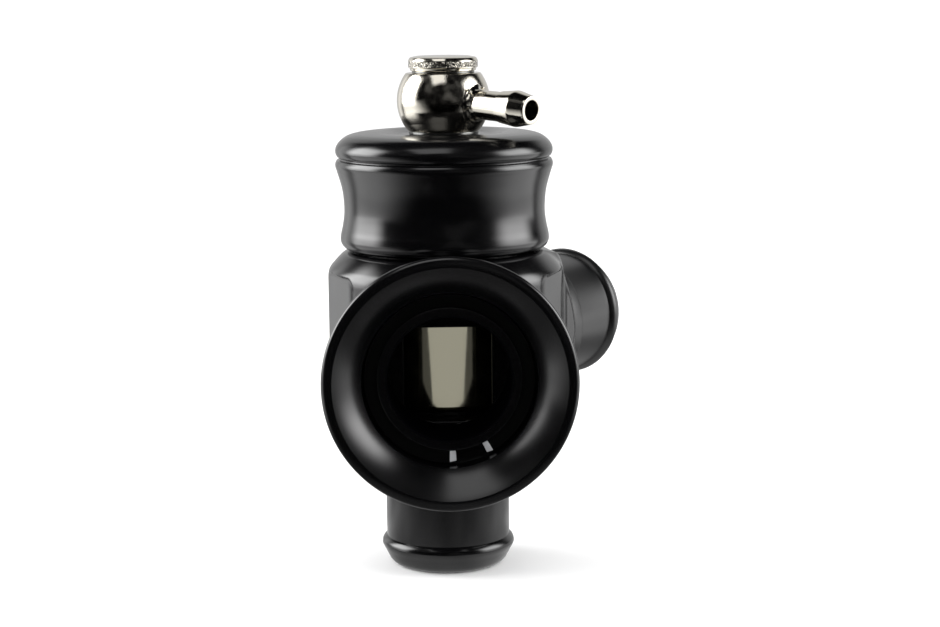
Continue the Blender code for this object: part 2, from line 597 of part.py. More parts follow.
def make_piston(frame, nickel, plastic):
    """The cup, and the two guide rings in its grooves. The frame is on the axis, at the piston's base."""
    groove_radius = PISTON_RADIUS - PISTON_RING_DEPTH
    cup_radius = PISTON_RADIUS - PISTON_WALL
    corners = [
        (0, 0, 0),
        (PISTON_RADIUS - PISTON_CHAMFER, 0, 0),
        (PISTON_RADIUS, PISTON_CHAMFER, 0),
    ]
    for low in ring_groove_heights():
        high = low + PISTON_RING_HEIGHT
        corners += [(PISTON_RADIUS, low, 0), (groove_radius, low, 0)]
        corners += [(groove_radius, high, 0), (PISTON_RADIUS, high, 0)]
    corners += [
        (PISTON_RADIUS, PISTON_LENGTH, 0.3 * MM),
        (cup_radius, PISTON_LENGTH, 0.3 * MM),
        (cup_radius, PISTON_FLOOR, 0.8 * MM),
        (0, PISTON_FLOOR, 0),
    ]
    add_object("piston", turned_mesh("piston", corners), frame, nickel)
    for name, low in zip(("piston_lower_ring", "piston_upper_ring"), ring_groove_heights()):
        inner = groove_radius + THIN_GAP
        outer = PISTON_RADIUS + GAP / 2
        top = PISTON_RING_HEIGHT - 2 * THIN_GAP
        section = [(inner, 0, 0), (outer, 0, 0), (outer, top, 0), (inner, top, 0)]
        ring = add_object(name, turned_mesh(name, section), frame, plastic)
        ring.location = (0, 0, low + THIN_GAP)


def make_spring(root, steel):
    """A compression spring with its end turns closed, from the piston's floor up to the spring seat."""
    low = PISTON_BASE_Z + PISTON_FLOOR + THIN_GAP + SPRING_WIRE / 2
    high = SPRING_SEAT_Z - THIN_GAP - SPRING_WIRE / 2
    per_turn = 12
    count = SPRING_TURNS * per_turn
    dead_rise = 1.1 * SPRING_WIRE
    curve = bpy.data.curves.new("spring", "CURVE")
    curve.dimensions = "3D"
    curve.bevel_depth = SPRING_WIRE / 2
    curve.bevel_resolution = 1
    curve.use_fill_caps = True
    spline = curve.splines.new("POLY")
    spline.points.add(count)
    live_rise = (high - low - 2 * dead_rise) / (SPRING_TURNS - 2)
    for index in range(count + 1):
        turns = index / per_turn
        live = min(max(turns - 1, 0), SPRING_TURNS - 2)
        height = low + dead_rise * (turns - live) + live_rise * live
        angle = 2 * math.pi * turns
        across, ahead = SPRING_RADIUS * math.cos(angle), SPRING_RADIUS * math.sin(angle)
        spline.points[index].co = (across, ahead, height, 1)
    add_object("spring", curve, root, steel)
    outer = SPRING_RADIUS + SPRING_WIRE
    top = SPRING_SEAT_THICKNESS
    section = [(SPRING_SEAT_HOLE, 0, 0), (outer, 0, 0), (outer, top, 0), (SPRING_SEAT_HOLE, top, 0)]
    seat = add_object("spring_seat", turned_mesh("spring_seat", section, SMALL_STEPS), root, steel)
    seat.location = (0, 0, SPRING_SEAT_Z)


def make_banjo(root, swivel, nickel, copper):
    """Eye and tail on the swivel's frame, at the eye's middle, and the bolt and washers on the root."""
    half = EYE_HEIGHT / 2
    flat_radius = math.sqrt(EYE_RADIUS**2 - half**2)
    side = arc_through((flat_radius, -half), (EYE_RADIUS, 0), (flat_radius, half), 8)
    corners = [(EYE_BORE_RADIUS, -half, 0), (flat_radius, -half, 0), *side]
    corners += [(flat_radius, half, 0), (EYE_BORE_RADIUS, half, 0)]
    eye = add_object("banjo_eye", turned_mesh("banjo_eye", corners, SMALL_STEPS), swivel, nickel)
    outwards = empty("banjo_outwards", swivel, (0, 0, 0), (math.pi / 2 + BANJO_DROP, 0, BANJO_ANGLE))
    socket_floor = EYE_RADIUS - SOCKET_DEPTH
    socket = rod_mesh("banjo_socket", BANJO_TUBE_RADIUS + THIN_GAP, socket_floor, 2 * EYE_RADIUS, 20)
    boolean(eye, add_object("banjo_socket", socket, outwards), "DIFFERENCE")
    way = rod_mesh("banjo_way", BANJO_HOLE_RADIUS, EYE_BORE_RADIUS / 2, EYE_RADIUS, 16)
    boolean(eye, add_object("banjo_way", way, outwards), "DIFFERENCE")
    barb = BANJO_REACH - BARB_FROM_END
    tube = [
        (BANJO_HOLE_RADIUS, socket_floor + THIN_GAP, 0),
        (BANJO_TUBE_RADIUS, socket_floor + THIN_GAP, 0),
        (BANJO_TUBE_RADIUS, barb - 0.2 * MM, 0),
        (BARB_RADIUS - 0.1 * MM, barb, 0),
        (BARB_RADIUS, barb + 0.6 * MM, 0),
        (BARB_MOUTH_RADIUS, BANJO_REACH, 0.2 * MM),
        (BANJO_HOLE_RADIUS, BANJO_REACH, 0),
    ]
    add_object("banjo_tail", turned_mesh("banjo_tail", tube, 20), outwards, nickel)

    inner = BOLT_RADIUS + THIN_GAP
    washer = [(inner, 0, 0), (WASHER_RADIUS, 0, 0)]
    washer += [(WASHER_RADIUS, WASHER_THICKNESS, 0), (inner, WASHER_THICKNESS, 0)]
    washer_mesh = turned_mesh("banjo_washer", washer, SMALL_STEPS)
    washer_mesh.materials.append(copper)
    for name, height in (("lower", CAP_TOP_Z), ("upper", EYE_TOP_Z)):
        made = add_object("banjo_washer_" + name, washer_mesh, root)
        made.location = (0, 0, height + THIN_GAP)

    tip = CAP_CEILING_Z - BOLT_BELOW_ROOF
    head_top = HEAD_BASE_Z + BOLT_HEAD_HEIGHT
    waist_low = EYE_BASE_Z + 0.6 * MM
    waist_high = EYE_TOP_Z - 0.6 * MM
    shank = [
        (BOLT_HOLLOW_RADIUS, tip, 0),
        (BOLT_RADIUS - 0.4 * MM, tip, 0),
        (BOLT_RADIUS, tip + 0.4 * MM, 0),
        (BOLT_RADIUS, waist_low, 0),
        (BOLT_WAIST_RADIUS, waist_low + 0.5 * MM, 0),
        (BOLT_WAIST_RADIUS, waist_high - 0.5 * MM, 0),
        (BOLT_RADIUS, waist_high, 0),
        (BOLT_RADIUS, HEAD_BASE_Z, 0),
        (BOLT_HEAD_RADIUS, HEAD_BASE_Z, 0.2 * MM),
        (BOLT_HEAD_RADIUS, head_top, 0.6 * MM),
        (0, head_top, 0),
        (0, EYE_MIDDLE_Z + BOLT_HOLLOW_BEYOND + BOLT_HOLLOW_POINT, 0),
        (BOLT_HOLLOW_RADIUS, EYE_MIDDLE_Z + BOLT_HOLLOW_BEYOND, 0),
    ]
    bolt = add_object("banjo_bolt", turned_mesh("banjo_bolt", shank, SMALL_STEPS), root, nickel)
    across = rod_mesh("cross_hole", CROSS_HOLE_RADIUS, -EYE_RADIUS, EYE_RADIUS, 16)
    drill = add_object("cross_hole", across, root)
    drill.location = (0, 0, EYE_MIDDLE_Z)
    drill.rotation_euler = (0, math.pi / 2, 0)
    boolean(bolt, drill, "DIFFERENCE")


def main():
    clear_scene()
    black = material("black anodised aluminium", (0.010, 0.010, 0.011), 0.34, 1.0)
    nickel = material("nickel plate", (0.66, 0.62, 0.55), 0.12, 1.0)
    satin = material("satin nickel", (0.46, 0.41, 0.33), 0.32, 1.0)
    steel = material("spring steel", (0.30, 0.30, 0.31), 0.30, 1.0)
    oxide = material("black oxide steel", (0.02, 0.02, 0.02), 0.5, 1.0)
    rubber = material("nitrile rubber", (0.02, 0.02, 0.02), 0.7, 0.0)
    plastic = material("filled PTFE", (0.12, 0.10, 0.08), 0.5, 0.0)
    copper = material("tin plated copper", (0.62, 0.61, 0.58), 0.25, 1.0)

    root = empty("valve_axis", None, (AXIS_X, AXIS_Y, 0))
    trumpet_axis = empty("trumpet_axis", root, (0, 0, TRUMPET_AXIS_Z), (math.pi / 2, 0, 0))
    recirc_axis = empty("recirc_axis", root, (0, 0, RECIRC_AXIS_Z), (-math.pi / 2, 0, -RECIRC_ANGLE))
    recirc_end = empty("recirc_end", recirc_axis, (0, 0, RECIRC_REACH), (math.pi, 0, 0))
    piston_frame = empty("piston_frame", root, (0, 0, PISTON_BASE_Z))
    swivel = empty("banjo_swivel_frame", root, (0, 0, EYE_MIDDLE_Z))

    make_body(root, trumpet_axis, recirc_axis, black)
    make_hose_tail("inlet", root, black, rubber)
    make_hose_tail("recirc", recirc_end, black, rubber)
    make_trumpet(trumpet_axis, black, rubber, oxide)
    make_cap(root, black, rubber)
    make_piston(piston_frame, satin, plastic)
    make_spring(root, steel)
    make_banjo(root, swivel, nickel, copper)


main()
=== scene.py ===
# %% [markdown]
# # A blow off valve, dressed for its portrait
#
# A blow off valve sits on a turbocharged engine's intake. Pressure comes in through the hose tail at the
# bottom and a sprung piston holds it back. When the throttle shuts, vacuum at the small fitting on the cap
# helps to lift the piston, and the air leaves through the trumpet at the front and the tail at the back.
# The working model is already packed as solids. This lesson gives every piece its true surface: turned and
# milled aluminium with black anodising, bright nickel on brass, and a plated piston.

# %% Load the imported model
import json
import math

import bmesh
import bpy
import numpy as np
from mathutils import Matrix, Vector, noise


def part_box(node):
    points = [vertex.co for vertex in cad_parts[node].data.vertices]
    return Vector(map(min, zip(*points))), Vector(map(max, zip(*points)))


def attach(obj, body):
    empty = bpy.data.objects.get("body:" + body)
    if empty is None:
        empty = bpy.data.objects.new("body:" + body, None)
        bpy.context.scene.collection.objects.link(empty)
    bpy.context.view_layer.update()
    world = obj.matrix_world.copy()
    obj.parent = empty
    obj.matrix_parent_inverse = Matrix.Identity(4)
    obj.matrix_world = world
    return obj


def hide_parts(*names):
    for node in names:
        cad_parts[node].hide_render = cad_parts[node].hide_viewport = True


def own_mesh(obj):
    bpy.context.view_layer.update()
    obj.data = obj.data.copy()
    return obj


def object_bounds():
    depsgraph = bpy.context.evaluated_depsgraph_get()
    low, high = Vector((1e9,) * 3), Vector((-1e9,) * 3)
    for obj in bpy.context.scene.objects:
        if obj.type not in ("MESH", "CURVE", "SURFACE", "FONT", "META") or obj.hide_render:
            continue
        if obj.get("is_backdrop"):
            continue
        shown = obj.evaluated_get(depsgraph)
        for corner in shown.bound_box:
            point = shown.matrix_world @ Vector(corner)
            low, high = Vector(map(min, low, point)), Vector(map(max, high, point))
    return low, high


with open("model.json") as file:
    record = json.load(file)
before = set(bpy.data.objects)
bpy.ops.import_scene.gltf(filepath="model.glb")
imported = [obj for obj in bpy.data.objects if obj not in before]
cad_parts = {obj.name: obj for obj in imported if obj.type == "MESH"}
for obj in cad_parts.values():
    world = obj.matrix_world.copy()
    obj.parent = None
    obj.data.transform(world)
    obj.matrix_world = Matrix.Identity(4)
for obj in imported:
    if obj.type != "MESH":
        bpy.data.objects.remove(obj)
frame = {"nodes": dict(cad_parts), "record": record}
cad_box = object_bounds()
MM = 0.001
print("nodes in the packed model:", len(frame["nodes"]))

# %% [markdown]
# Nearly every piece here was made on a lathe, so each one needs only a place to stand: a matrix whose Z is
# the piece's own turning axis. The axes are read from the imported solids, so that the new skins can't drift
# away from them. The front port looks along -Y. The ways of the rear tail and of the small tail on the
# banjo come from the record's mounts, each of which is the flat end of its tail.


# %% Where the axes are
def low_z(node):
    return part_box(node)[0].z


def high_z(node):
    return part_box(node)[1].z


def middle(node):
    low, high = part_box(node)
    return (low + high) / 2


VALVE = Vector((middle("cap").x, middle("cap").y, 0))
mounts = {mount["name"]: Vector(mount["axis"]) for mount in frame["record"]["mounts"]}
REAR_ANGLE = math.atan2(mounts["recirc_end"].x, mounts["recirc_end"].y)
BANJO_ANGLE = math.atan2(mounts["banjo_tail_end"].x, -mounts["banjo_tail_end"].y)
BANJO_DROP = -math.asin(mounts["banjo_tail_end"].z)


def standing(height=0.0):
    """Z up, on the piston's axis."""
    return Matrix.Translation(VALVE + Vector((0, 0, height)))


def lying(height, turn, drop=0.0):
    """Z level, or dropping, leaving the piston's axis at that height. Turn 0 faces the front."""
    return standing(height) @ Matrix.Rotation(turn, 4, "Z") @ Matrix.Rotation(math.pi / 2 + drop, 4, "X")


UP = standing()
FRONT = lying(middle("trumpet").z, 0)
REAR = lying(middle("recirc_hose_tail").z, math.pi - REAR_ANGLE)
BANJO = lying(middle("banjo_eye").z, BANJO_ANGLE, BANJO_DROP)
print("piston's axis at", [round(v / MM, 2) for v in VALVE], "front port at", round(FRONT.translation.z / MM, 2))

# %% [markdown]
# The picture was taken with a long lens from a little above, so the camera's distance, height and tilt
# were worked out from the ellipses of the cap, the trumpet and the hose tail. A small roll makes the valve
# lean as it does there.

# %% Camera
CAMERA_DISTANCE = 430 * MM
CAMERA_HEIGHT = 118.5 * MM
CAMERA_SIDE_ANGLE = math.radians(1.1)
CAMERA_TILT = math.radians(8.95)
CAMERA_AIM_RIGHT = math.radians(0.65)
CAMERA_ROLL = math.radians(0.55)

camera_data = bpy.data.cameras.new("portrait camera")
camera_data.lens = 82.7
camera_data.sensor_width = 36
camera_data.clip_start = 0.01
camera = bpy.data.objects.new("portrait camera", camera_data)
bpy.context.scene.collection.objects.link(camera)
from_valve = Matrix.Rotation(-CAMERA_SIDE_ANGLE, 4, "Z") @ Vector((0, -CAMERA_DISTANCE, 0))
camera_place = Matrix.Translation(VALVE + from_valve + Vector((0, 0, CAMERA_HEIGHT)))
camera_heading = Matrix.Rotation(-CAMERA_SIDE_ANGLE - CAMERA_AIM_RIGHT, 4, "Z")
camera_tilt = Matrix.Rotation(math.pi / 2 - CAMERA_TILT, 4, "X")
camera.matrix_world = camera_place @ camera_heading @ camera_tilt @ Matrix.Rotation(-CAMERA_ROLL, 4, "Z")
bpy.context.scene.camera = camera
print("camera at", [round(v, 3) for v in camera.matrix_world.translation])


# %% [markdown]
# Colours are written as the hex codes that a colour picker shows, which are sRGB. Blender's shaders work
# with linear light, so one function turns the codes. A second one adds a shader node with its settings,
# and links any input that is given another node's output.


# %% Two small helpers for materials
def srgb(code):
    """The linear colour, with alpha, of a hex code such as #c8ccd0."""
    parts = [int(code[i : i + 2], 16) / 255 for i in (1, 3, 5)]
    linear = [p / 12.92 if p <= 0.04045 else ((p + 0.055) / 1.055) ** 2.4 for p in parts]
    return (*linear, 1.0)


def add_node(tree, kind, inputs=None, **settings):
    """Adds a node. inputs gives a socket's name or number a value, or another node's output to link."""
    made = tree.nodes.new(kind)
    for name, value in settings.items():
        setattr(made, name, value)
    for key, value in (inputs or {}).items():
        if isinstance(value, bpy.types.NodeSocket):
            tree.links.new(value, made.inputs[key])
        else:
            made.inputs[key].default_value = value
    return made


# %% [markdown]
# A black glossy thing is drawn almost only by what it mirrors, so the room is the real subject. Behind the
# valve stands a white wall. A tall softbox stands at each side, and the room in front is dark. That gives
# every black cylinder two soft grey stripes, a black middle and a pale edge. The room is painted on the
# world by direction, as sums of soft edged patches, and only mirror rays see it. The camera and the matt
# floor see a plain white world, as in a light tent.


# %% World
def product(tree, *factors):
    """All the factors multiplied."""
    result = factors[0]
    for factor in factors[1:]:
        result = add_node(tree, "ShaderNodeMath", {0: result, 1: factor}, operation="MULTIPLY").outputs[0]
    return result


def soft_step(tree, value, start, end):
    """Rises smoothly from nought at start to one at end."""
    edges = {"Value": value, "From Min": start, "From Max": end}
    return add_node(tree, "ShaderNodeMapRange", edges, interpolation_type="SMOOTHSTEP").outputs[0]


def soft_band(tree, value, low, high, soft):
    """One between low and high, and nought beyond, with edges that wide."""
    return product(tree, soft_step(tree, value, low - soft, low), soft_step(tree, value, high + soft, high))


world = bpy.data.worlds.new("light tent")
bpy.context.scene.world = world
world.use_nodes = True
sky = world.node_tree
sky.nodes.clear()
bearing = add_node(sky, "ShaderNodeTexCoord").outputs["Generated"]
split = add_node(sky, "ShaderNodeSeparateXYZ", {"Vector": bearing})
right, ahead, up = split.outputs
side = add_node(sky, "ShaderNodeMath", {0: right}, operation="ABSOLUTE").outputs[0]
behind = soft_step(sky, ahead, 0.5, 0.75)
in_front = soft_step(sky, ahead, 0.55, 0.45)
clutter = add_node(sky, "ShaderNodeTexNoise", {"Vector": bearing, "Scale": 3.0, "Detail": 4.0}).outputs[0]
PATCHES = [
    # The white wall: wide below, narrower above, and brighter on the left, where it catches a softbox
    (0.66, behind, soft_step(sky, up, 0.6, 0.3)),
    (0.70, behind, soft_step(sky, side, 0.46, 0.36), soft_step(sky, up, 0.3, 0.6), soft_step(sky, up, 0.9, 0.7)),
    (0.40, behind, soft_step(sky, right, -0.46, -0.56), soft_step(sky, up, 0.6, 0.3)),
    # The table beside the valve, under the softboxes, and dimmer towards the camera
    (1.6, soft_step(sky, ahead, -0.8, -0.02), in_front, soft_step(sky, up, 0.1, -0.34)),
    (1.2, soft_step(sky, ahead, -0.6, 0.0), in_front, soft_step(sky, up, -0.22, -0.08), soft_step(sky, up, 0.04, -0.06)),
    # A small ceiling light, forward and a little to the left
    (1.2, soft_band(sky, right, -0.40, 0.05, 0.04), soft_band(sky, ahead, -0.66, -0.16, 0.05), soft_step(sky, up, 0.6, 0.7)),
    # The dim room in front, with things in it
    (0.1, soft_step(sky, ahead, 0.2, -0.2), soft_step(sky, up, -0.1, 0.0), soft_step(sky, clutter, 0.45, 0.75)),
]
room = 0.0
for strength, *masks in PATCHES:
    lit = {0: product(sky, *masks), 1: strength, 2: room}
    room = add_node(sky, "ShaderNodeMath", lit, operation="MULTIPLY_ADD").outputs[0]
mirrored = add_node(sky, "ShaderNodeBackground", {"Strength": room})
plain = add_node(sky, "ShaderNodeBackground", {"Strength": 1.2})
for background in (mirrored, plain):
    background.inputs["Color"].default_value = srgb("#ffffff")
ray = add_node(sky, "ShaderNodeLightPath")
choose = add_node(
    sky, "ShaderNodeMixShader", {0: ray.outputs["Is Glossy Ray"], 1: plain.outputs[0], 2: mirrored.outputs[0]}
)
add_node(sky, "ShaderNodeOutputWorld", {"Surface": choose.outputs[0]})
bpy.context.scene.view_settings.view_transform = "Standard"
print("patches in the room:", len(PATCHES))

# %% [markdown]
# The softboxes are area lights that stand upright on the floor. Their width and distance set the width of
# the stripes, and their height sets how far the light reaches round the trumpet's mouth. The strength is
# given as brightness, and the watts are worked out from it and the area.


# %% Softboxes
def softbox(name, bearing, brightness, width=0.95, tall=0.8, distance=0.8, fade=0.0):
    """An upright panel of light. The bearing is in degrees from the camera's side, and its edges fade."""
    turn = math.radians(bearing)
    light = bpy.data.lights.new(name, "AREA")
    light.shape = "RECTANGLE"
    light.size, light.size_y = width, tall
    light.energy = brightness * math.pi * width * tall
    lamp = bpy.data.objects.new(name, light)
    bpy.context.scene.collection.objects.link(lamp)
    lamp.location = VALVE + Vector((math.sin(turn) * distance, -math.cos(turn) * distance, tall / 2))
    lamp.rotation_euler = (math.pi / 2, 0, turn)
    lamp.visible_camera = False
    if fade:
        light.use_nodes = True
        tree = light.node_tree
        panel = add_node(tree, "ShaderNodeNewGeometry").outputs["Parametric"]
        across, along, _ = add_node(tree, "ShaderNodeSeparateXYZ", {"Vector": panel}).outputs
        sides = soft_band(tree, across, fade, 1 - fade, fade)
        glow = product(tree, sides, soft_step(tree, along, -0.12, 0.28), soft_step(tree, along, 1.0, 0.5))
        tree.links.new(glow, tree.nodes["Emission"].inputs["Strength"])
    return lamp


for name, degrees_round, brightness, tall in [("left softbox", -100, 7.2, 1.1), ("right softbox", 84, 5.6, 0.92)]:
    lamp = softbox(name, degrees_round, brightness, tall=tall, fade=0.35)
    print(name, "of", round(lamp.data.energy, 1), "watts")

# %% [markdown]
# The piston lies 25 mm down a black hole, so nothing in the room lights it. Two small white cards inside
# the mouth do: a bright narrow one draws the strip that shows in the picture, and a dim wide one its soft
# edge. They lean, with their feet farther off, which makes the strip narrower towards its foot. Light
# linking lets only the piston receive them, and the camera looks through them.

# %% Cards for the piston
lit_by_cards = bpy.data.collections.new("lit by the cards")
for name, brightness, width in [("bright card", 0.49, 0.0124), ("dim card", 0.08, 0.0215)]:
    card = softbox(name, 0, brightness, width=width, tall=0.027, distance=0.0173)
    card.location.x += 0.2 * MM
    card.location.z = FRONT.translation.z + 0.8 * MM
    card.rotation_euler.x = math.pi / 2 - math.radians(10.3)
    card.light_linking.receiver_collection = lit_by_cards

# %% [markdown]
# The table close round the valve is lit. It shows as a soft glow in the lower lip of the trumpet and in the
# hose tail. That glow must lie on the table, not in the far room, or it would show in the cap too. It is a
# disc of light under the valve that only mirror rays meet, fading towards its rim.

# %% Glow of the near table
bpy.ops.mesh.primitive_circle_add(vertices=96, radius=0.16, fill_type="NGON", location=(0, 0, 0.00005))
near_table = bpy.context.object
near_table.name = "near_table_glow"
near_table.visible_camera = near_table.visible_diffuse = near_table.visible_shadow = False
glow = bpy.data.materials.new("lit table near the valve")
glow.use_nodes = True
tree = glow.node_tree
tree.nodes.clear()
where = add_node(tree, "ShaderNodeTexCoord")
reach = add_node(tree, "ShaderNodeVectorMath", {0: where.outputs["Object"]}, operation="LENGTH")
mottle = add_node(tree, "ShaderNodeTexNoise", {"Vector": where.outputs["Object"], "Scale": 1 / (25 * MM)})
depth = add_node(tree, "ShaderNodeSeparateXYZ", {"Vector": where.outputs["Object"]}).outputs["Y"]
rear = add_node(tree, "ShaderNodeMath", {0: soft_step(tree, depth, -0.06, 0.01), 1: 1.1, 2: 0.35}, operation="MULTIPLY_ADD")
fade = product(tree, soft_step(tree, reach.outputs["Value"], 0.13, 0.05), mottle.outputs[0], rear.outputs[0])
shine = add_node(tree, "ShaderNodeEmission", {"Strength": fade})
clear = add_node(tree, "ShaderNodeBsdfTransparent")
blend = add_node(tree, "ShaderNodeMixShader", {0: soft_step(tree, reach.outputs["Value"], 0.15, 0.08), 1: clear.outputs[0], 2: shine.outputs[0]})
add_node(tree, "ShaderNodeOutputMaterial", {"Surface": blend.outputs[0]})
near_table.data.materials.append(glow)
near_table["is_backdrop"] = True

# %% [markdown]
# The valve stands on the end of its lower hose tail, on a pale floor. The floor is wide enough that its
# edge never shows, and it is kept out of mirror reflections, because the real table was dark in front.

# %% Floor
bpy.ops.mesh.primitive_plane_add(size=8, location=(0, 0, -0.0002))
floor = bpy.context.object
floor.name = "studio_floor"
floor_paint = bpy.data.materials.new("matt white studio floor")
floor_paint.use_nodes = True
floor_shader = floor_paint.node_tree.nodes["Principled BSDF"]
floor_shader.inputs["Base Color"].default_value = srgb("#f4f4f4")
floor_shader.inputs["Roughness"].default_value = 0.9
floor_shader.inputs["Specular IOR Level"].default_value = 0.1
floor.data.materials.append(floor_paint)
floor.visible_glossy = False
floor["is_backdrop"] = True


# %% [markdown]
# Black anodising is a clear oxide film, a few hundredths of a millimetre thick and dyed black, on turned or
# milled aluminium. To the eye it is a dark ceramic: almost no colour of its own, and a satin mirror that
# still shows the tool's marks. The marks are rings round the piece's own axis. So the material turns the
# object's coordinates into that axis's frame, takes the distance from the axis and the height along it, and
# feeds those two to a noise. The real marks are about 0.1 mm apart, too fine for this picture, so they are
# drawn 0.25 mm apart and very shallow. A broad second noise makes the gloss uneven, as handling does.


# %% Black anodised aluminium
def lathe_coordinates(tree, place):
    """Distance from the turning axis and height along it, both in metres, as a vector."""
    where = add_node(tree, "ShaderNodeTexCoord")
    local = add_node(tree, "ShaderNodeMapping", {"Vector": where.outputs["Object"]}, vector_type="TEXTURE")
    local.inputs["Location"].default_value = place.translation
    local.inputs["Rotation"].default_value = place.to_euler()
    parts = add_node(tree, "ShaderNodeSeparateXYZ", {"Vector": local.outputs[0]})
    flat = add_node(tree, "ShaderNodeCombineXYZ", {"X": parts.outputs["X"], "Y": parts.outputs["Y"]})
    radius = add_node(tree, "ShaderNodeVectorMath", {0: flat.outputs[0]}, operation="LENGTH")
    return add_node(tree, "ShaderNodeCombineXYZ", {"X": radius.outputs["Value"], "Z": parts.outputs["Z"]})


def anodised(name, place, roughness=0.18, mark_depth=0.0012):
    """Near black, with a satin gloss that is uneven on a broad scale and ringed by the tool on a fine one."""
    made = bpy.data.materials.new(name)
    made.use_nodes = True
    tree = made.node_tree
    shader = tree.nodes["Principled BSDF"]
    shader.inputs["Base Color"].default_value = srgb("#030304")
    shader.inputs["IOR"].default_value = 1.65
    rings = lathe_coordinates(tree, place)
    marks = add_node(tree, "ShaderNodeTexNoise", {"Vector": rings.outputs[0], "Scale": 1 / (0.25 * MM), "Detail": 2.0})
    where = add_node(tree, "ShaderNodeTexCoord")
    blotches = add_node(
        tree, "ShaderNodeTexNoise", {"Vector": where.outputs["Object"], "Scale": 1 / (14 * MM), "Detail": 4.0}
    )
    gloss = add_node(
        tree,
        "ShaderNodeMapRange",
        {"Value": blotches.outputs[0], "From Min": 0.3, "From Max": 0.7, "To Min": roughness - 0.03, "To Max": roughness + 0.04},
    )
    bump = add_node(tree, "ShaderNodeBump", {"Height": marks.outputs[0], "Distance": mark_depth * MM, "Strength": 0.6})
    tree.links.new(gloss.outputs[0], shader.inputs["Roughness"])
    tree.links.new(bump.outputs[0], shader.inputs["Normal"])
    return made


BLACK_UP = anodised("black anodised aluminium, turned upright", UP)
BLACK_FRONT = anodised("black anodised aluminium, turned to the front", FRONT)
BLACK_REAR = anodised("black anodised aluminium, turned to the rear", REAR, roughness=0.33)
BLACK_FLARE = anodised("black anodised aluminium, satin flare", FRONT, roughness=0.22, mark_depth=0.002)
BORE_PAINTED_SHADE = anodised("black anodised aluminium, bored", FRONT, roughness=0.4, mark_depth=0.004)
# This finish reflects nothing at all, so the bore stays black: painted shade inside the bore.
BORE_PAINTED_SHADE.node_tree.nodes["Principled BSDF"].inputs["Specular IOR Level"].default_value = 0.0
print("anodised materials:", BLACK_UP.name, "and four more")

# %% [markdown]
# The banjo fitting is brass with bright nickel. Nickel is a warm grey mirror. The plating follows the
# slightly rough brass under it, so the mirror breaks into specks: a noise about 0.3 mm across, which is
# the grain that shows in the picture.


# %% Bright nickel on brass
def bright_nickel(name, roughness, grain_depth, rough_band=None):
    """rough_band gives the heights between which the brass under the plate was left coarse, and where the bottoms of
    its pits get painted shade.
    """
    made = bpy.data.materials.new(name)
    made.use_nodes = True
    tree = made.node_tree
    shader = tree.nodes["Principled BSDF"]
    shader.inputs["Base Color"].default_value = srgb("#dcd7cb")
    shader.inputs["Metallic"].default_value = 1.0
    where = add_node(tree, "ShaderNodeTexCoord")
    grain = add_node(
        tree, "ShaderNodeTexNoise", {"Vector": where.outputs["Object"], "Scale": 1 / (0.25 * MM), "Detail": 2.0}
    )
    swell = add_node(
        tree, "ShaderNodeTexNoise", {"Vector": where.outputs["Object"], "Scale": 1 / (2.5 * MM), "Detail": 1.0}
    )
    rough = add_node(
        tree,
        "ShaderNodeMapRange",
        {"Value": swell.outputs[0], "From Min": 0.3, "From Max": 0.7, "To Min": roughness * 0.7, "To Max": roughness * 1.3},
    )
    fine = add_node(tree, "ShaderNodeBump", {"Height": grain.outputs[0], "Distance": grain_depth * MM})
    broad = add_node(
        tree, "ShaderNodeBump", {"Height": swell.outputs[0], "Distance": 0.014 * MM, "Normal": fine.outputs[0]}
    )
    tree.links.new(rough.outputs[0], shader.inputs["Roughness"])
    tree.links.new(broad.outputs[0], shader.inputs["Normal"])
    if rough_band:
        height = add_node(tree, "ShaderNodeSeparateXYZ", {"Vector": where.outputs["Object"]}).outputs["Z"]
        in_band = soft_band(tree, height, *rough_band, 0.05 * MM)
        pits = add_node(
            tree, "ShaderNodeTexNoise", {"Vector": where.outputs["Object"], "Scale": 1 / (0.26 * MM), "Detail": 1.0}
        )
        coarse = add_node(
            tree,
            "ShaderNodeBump",
            {"Height": pits.outputs[0], "Distance": 0.24 * MM, "Strength": in_band, "Normal": broad.outputs[0]},
        )
        tree.links.new(coarse.outputs[0], shader.inputs["Normal"])
        # In the band the bottoms of the pits are painted darker: painted shade in the pits.
        shade = product(tree, in_band, soft_step(tree, pits.outputs[0], 0.66, 0.38))
        pit_shade_tint = add_node(tree, "ShaderNodeMix", {0: shade}, data_type="RGBA")
        pit_shade_tint.inputs[6].default_value = shader.inputs["Base Color"].default_value
        pit_shade_tint.inputs[7].default_value = srgb("#3c3a36")
        tree.links.new(pit_shade_tint.outputs[2], shader.inputs["Base Color"])
    return made


HEAD_TOP = high_z("banjo_bolt")
NICKEL = bright_nickel("bright nickel on brass", 0.09, 0.006)
NICKEL_CAST = bright_nickel("bright nickel on rough brass", 0.10, 0.018)
# The head's coarse band carries painted shade in its pits.
NICKEL_BOLT = bright_nickel("bright nickel on a coarse turned head", 0.10, 0.01, (HEAD_TOP - 2.3 * MM, HEAD_TOP - 1.25 * MM))

# %% [markdown]
# The piston is aluminium with electroless nickel, which has a beige, champagne tint. It is ground round, so
# it is smoother than the body, and it slides, so it carries fine scratches along its length. They are a
# noise squeezed 40 times along the axis.

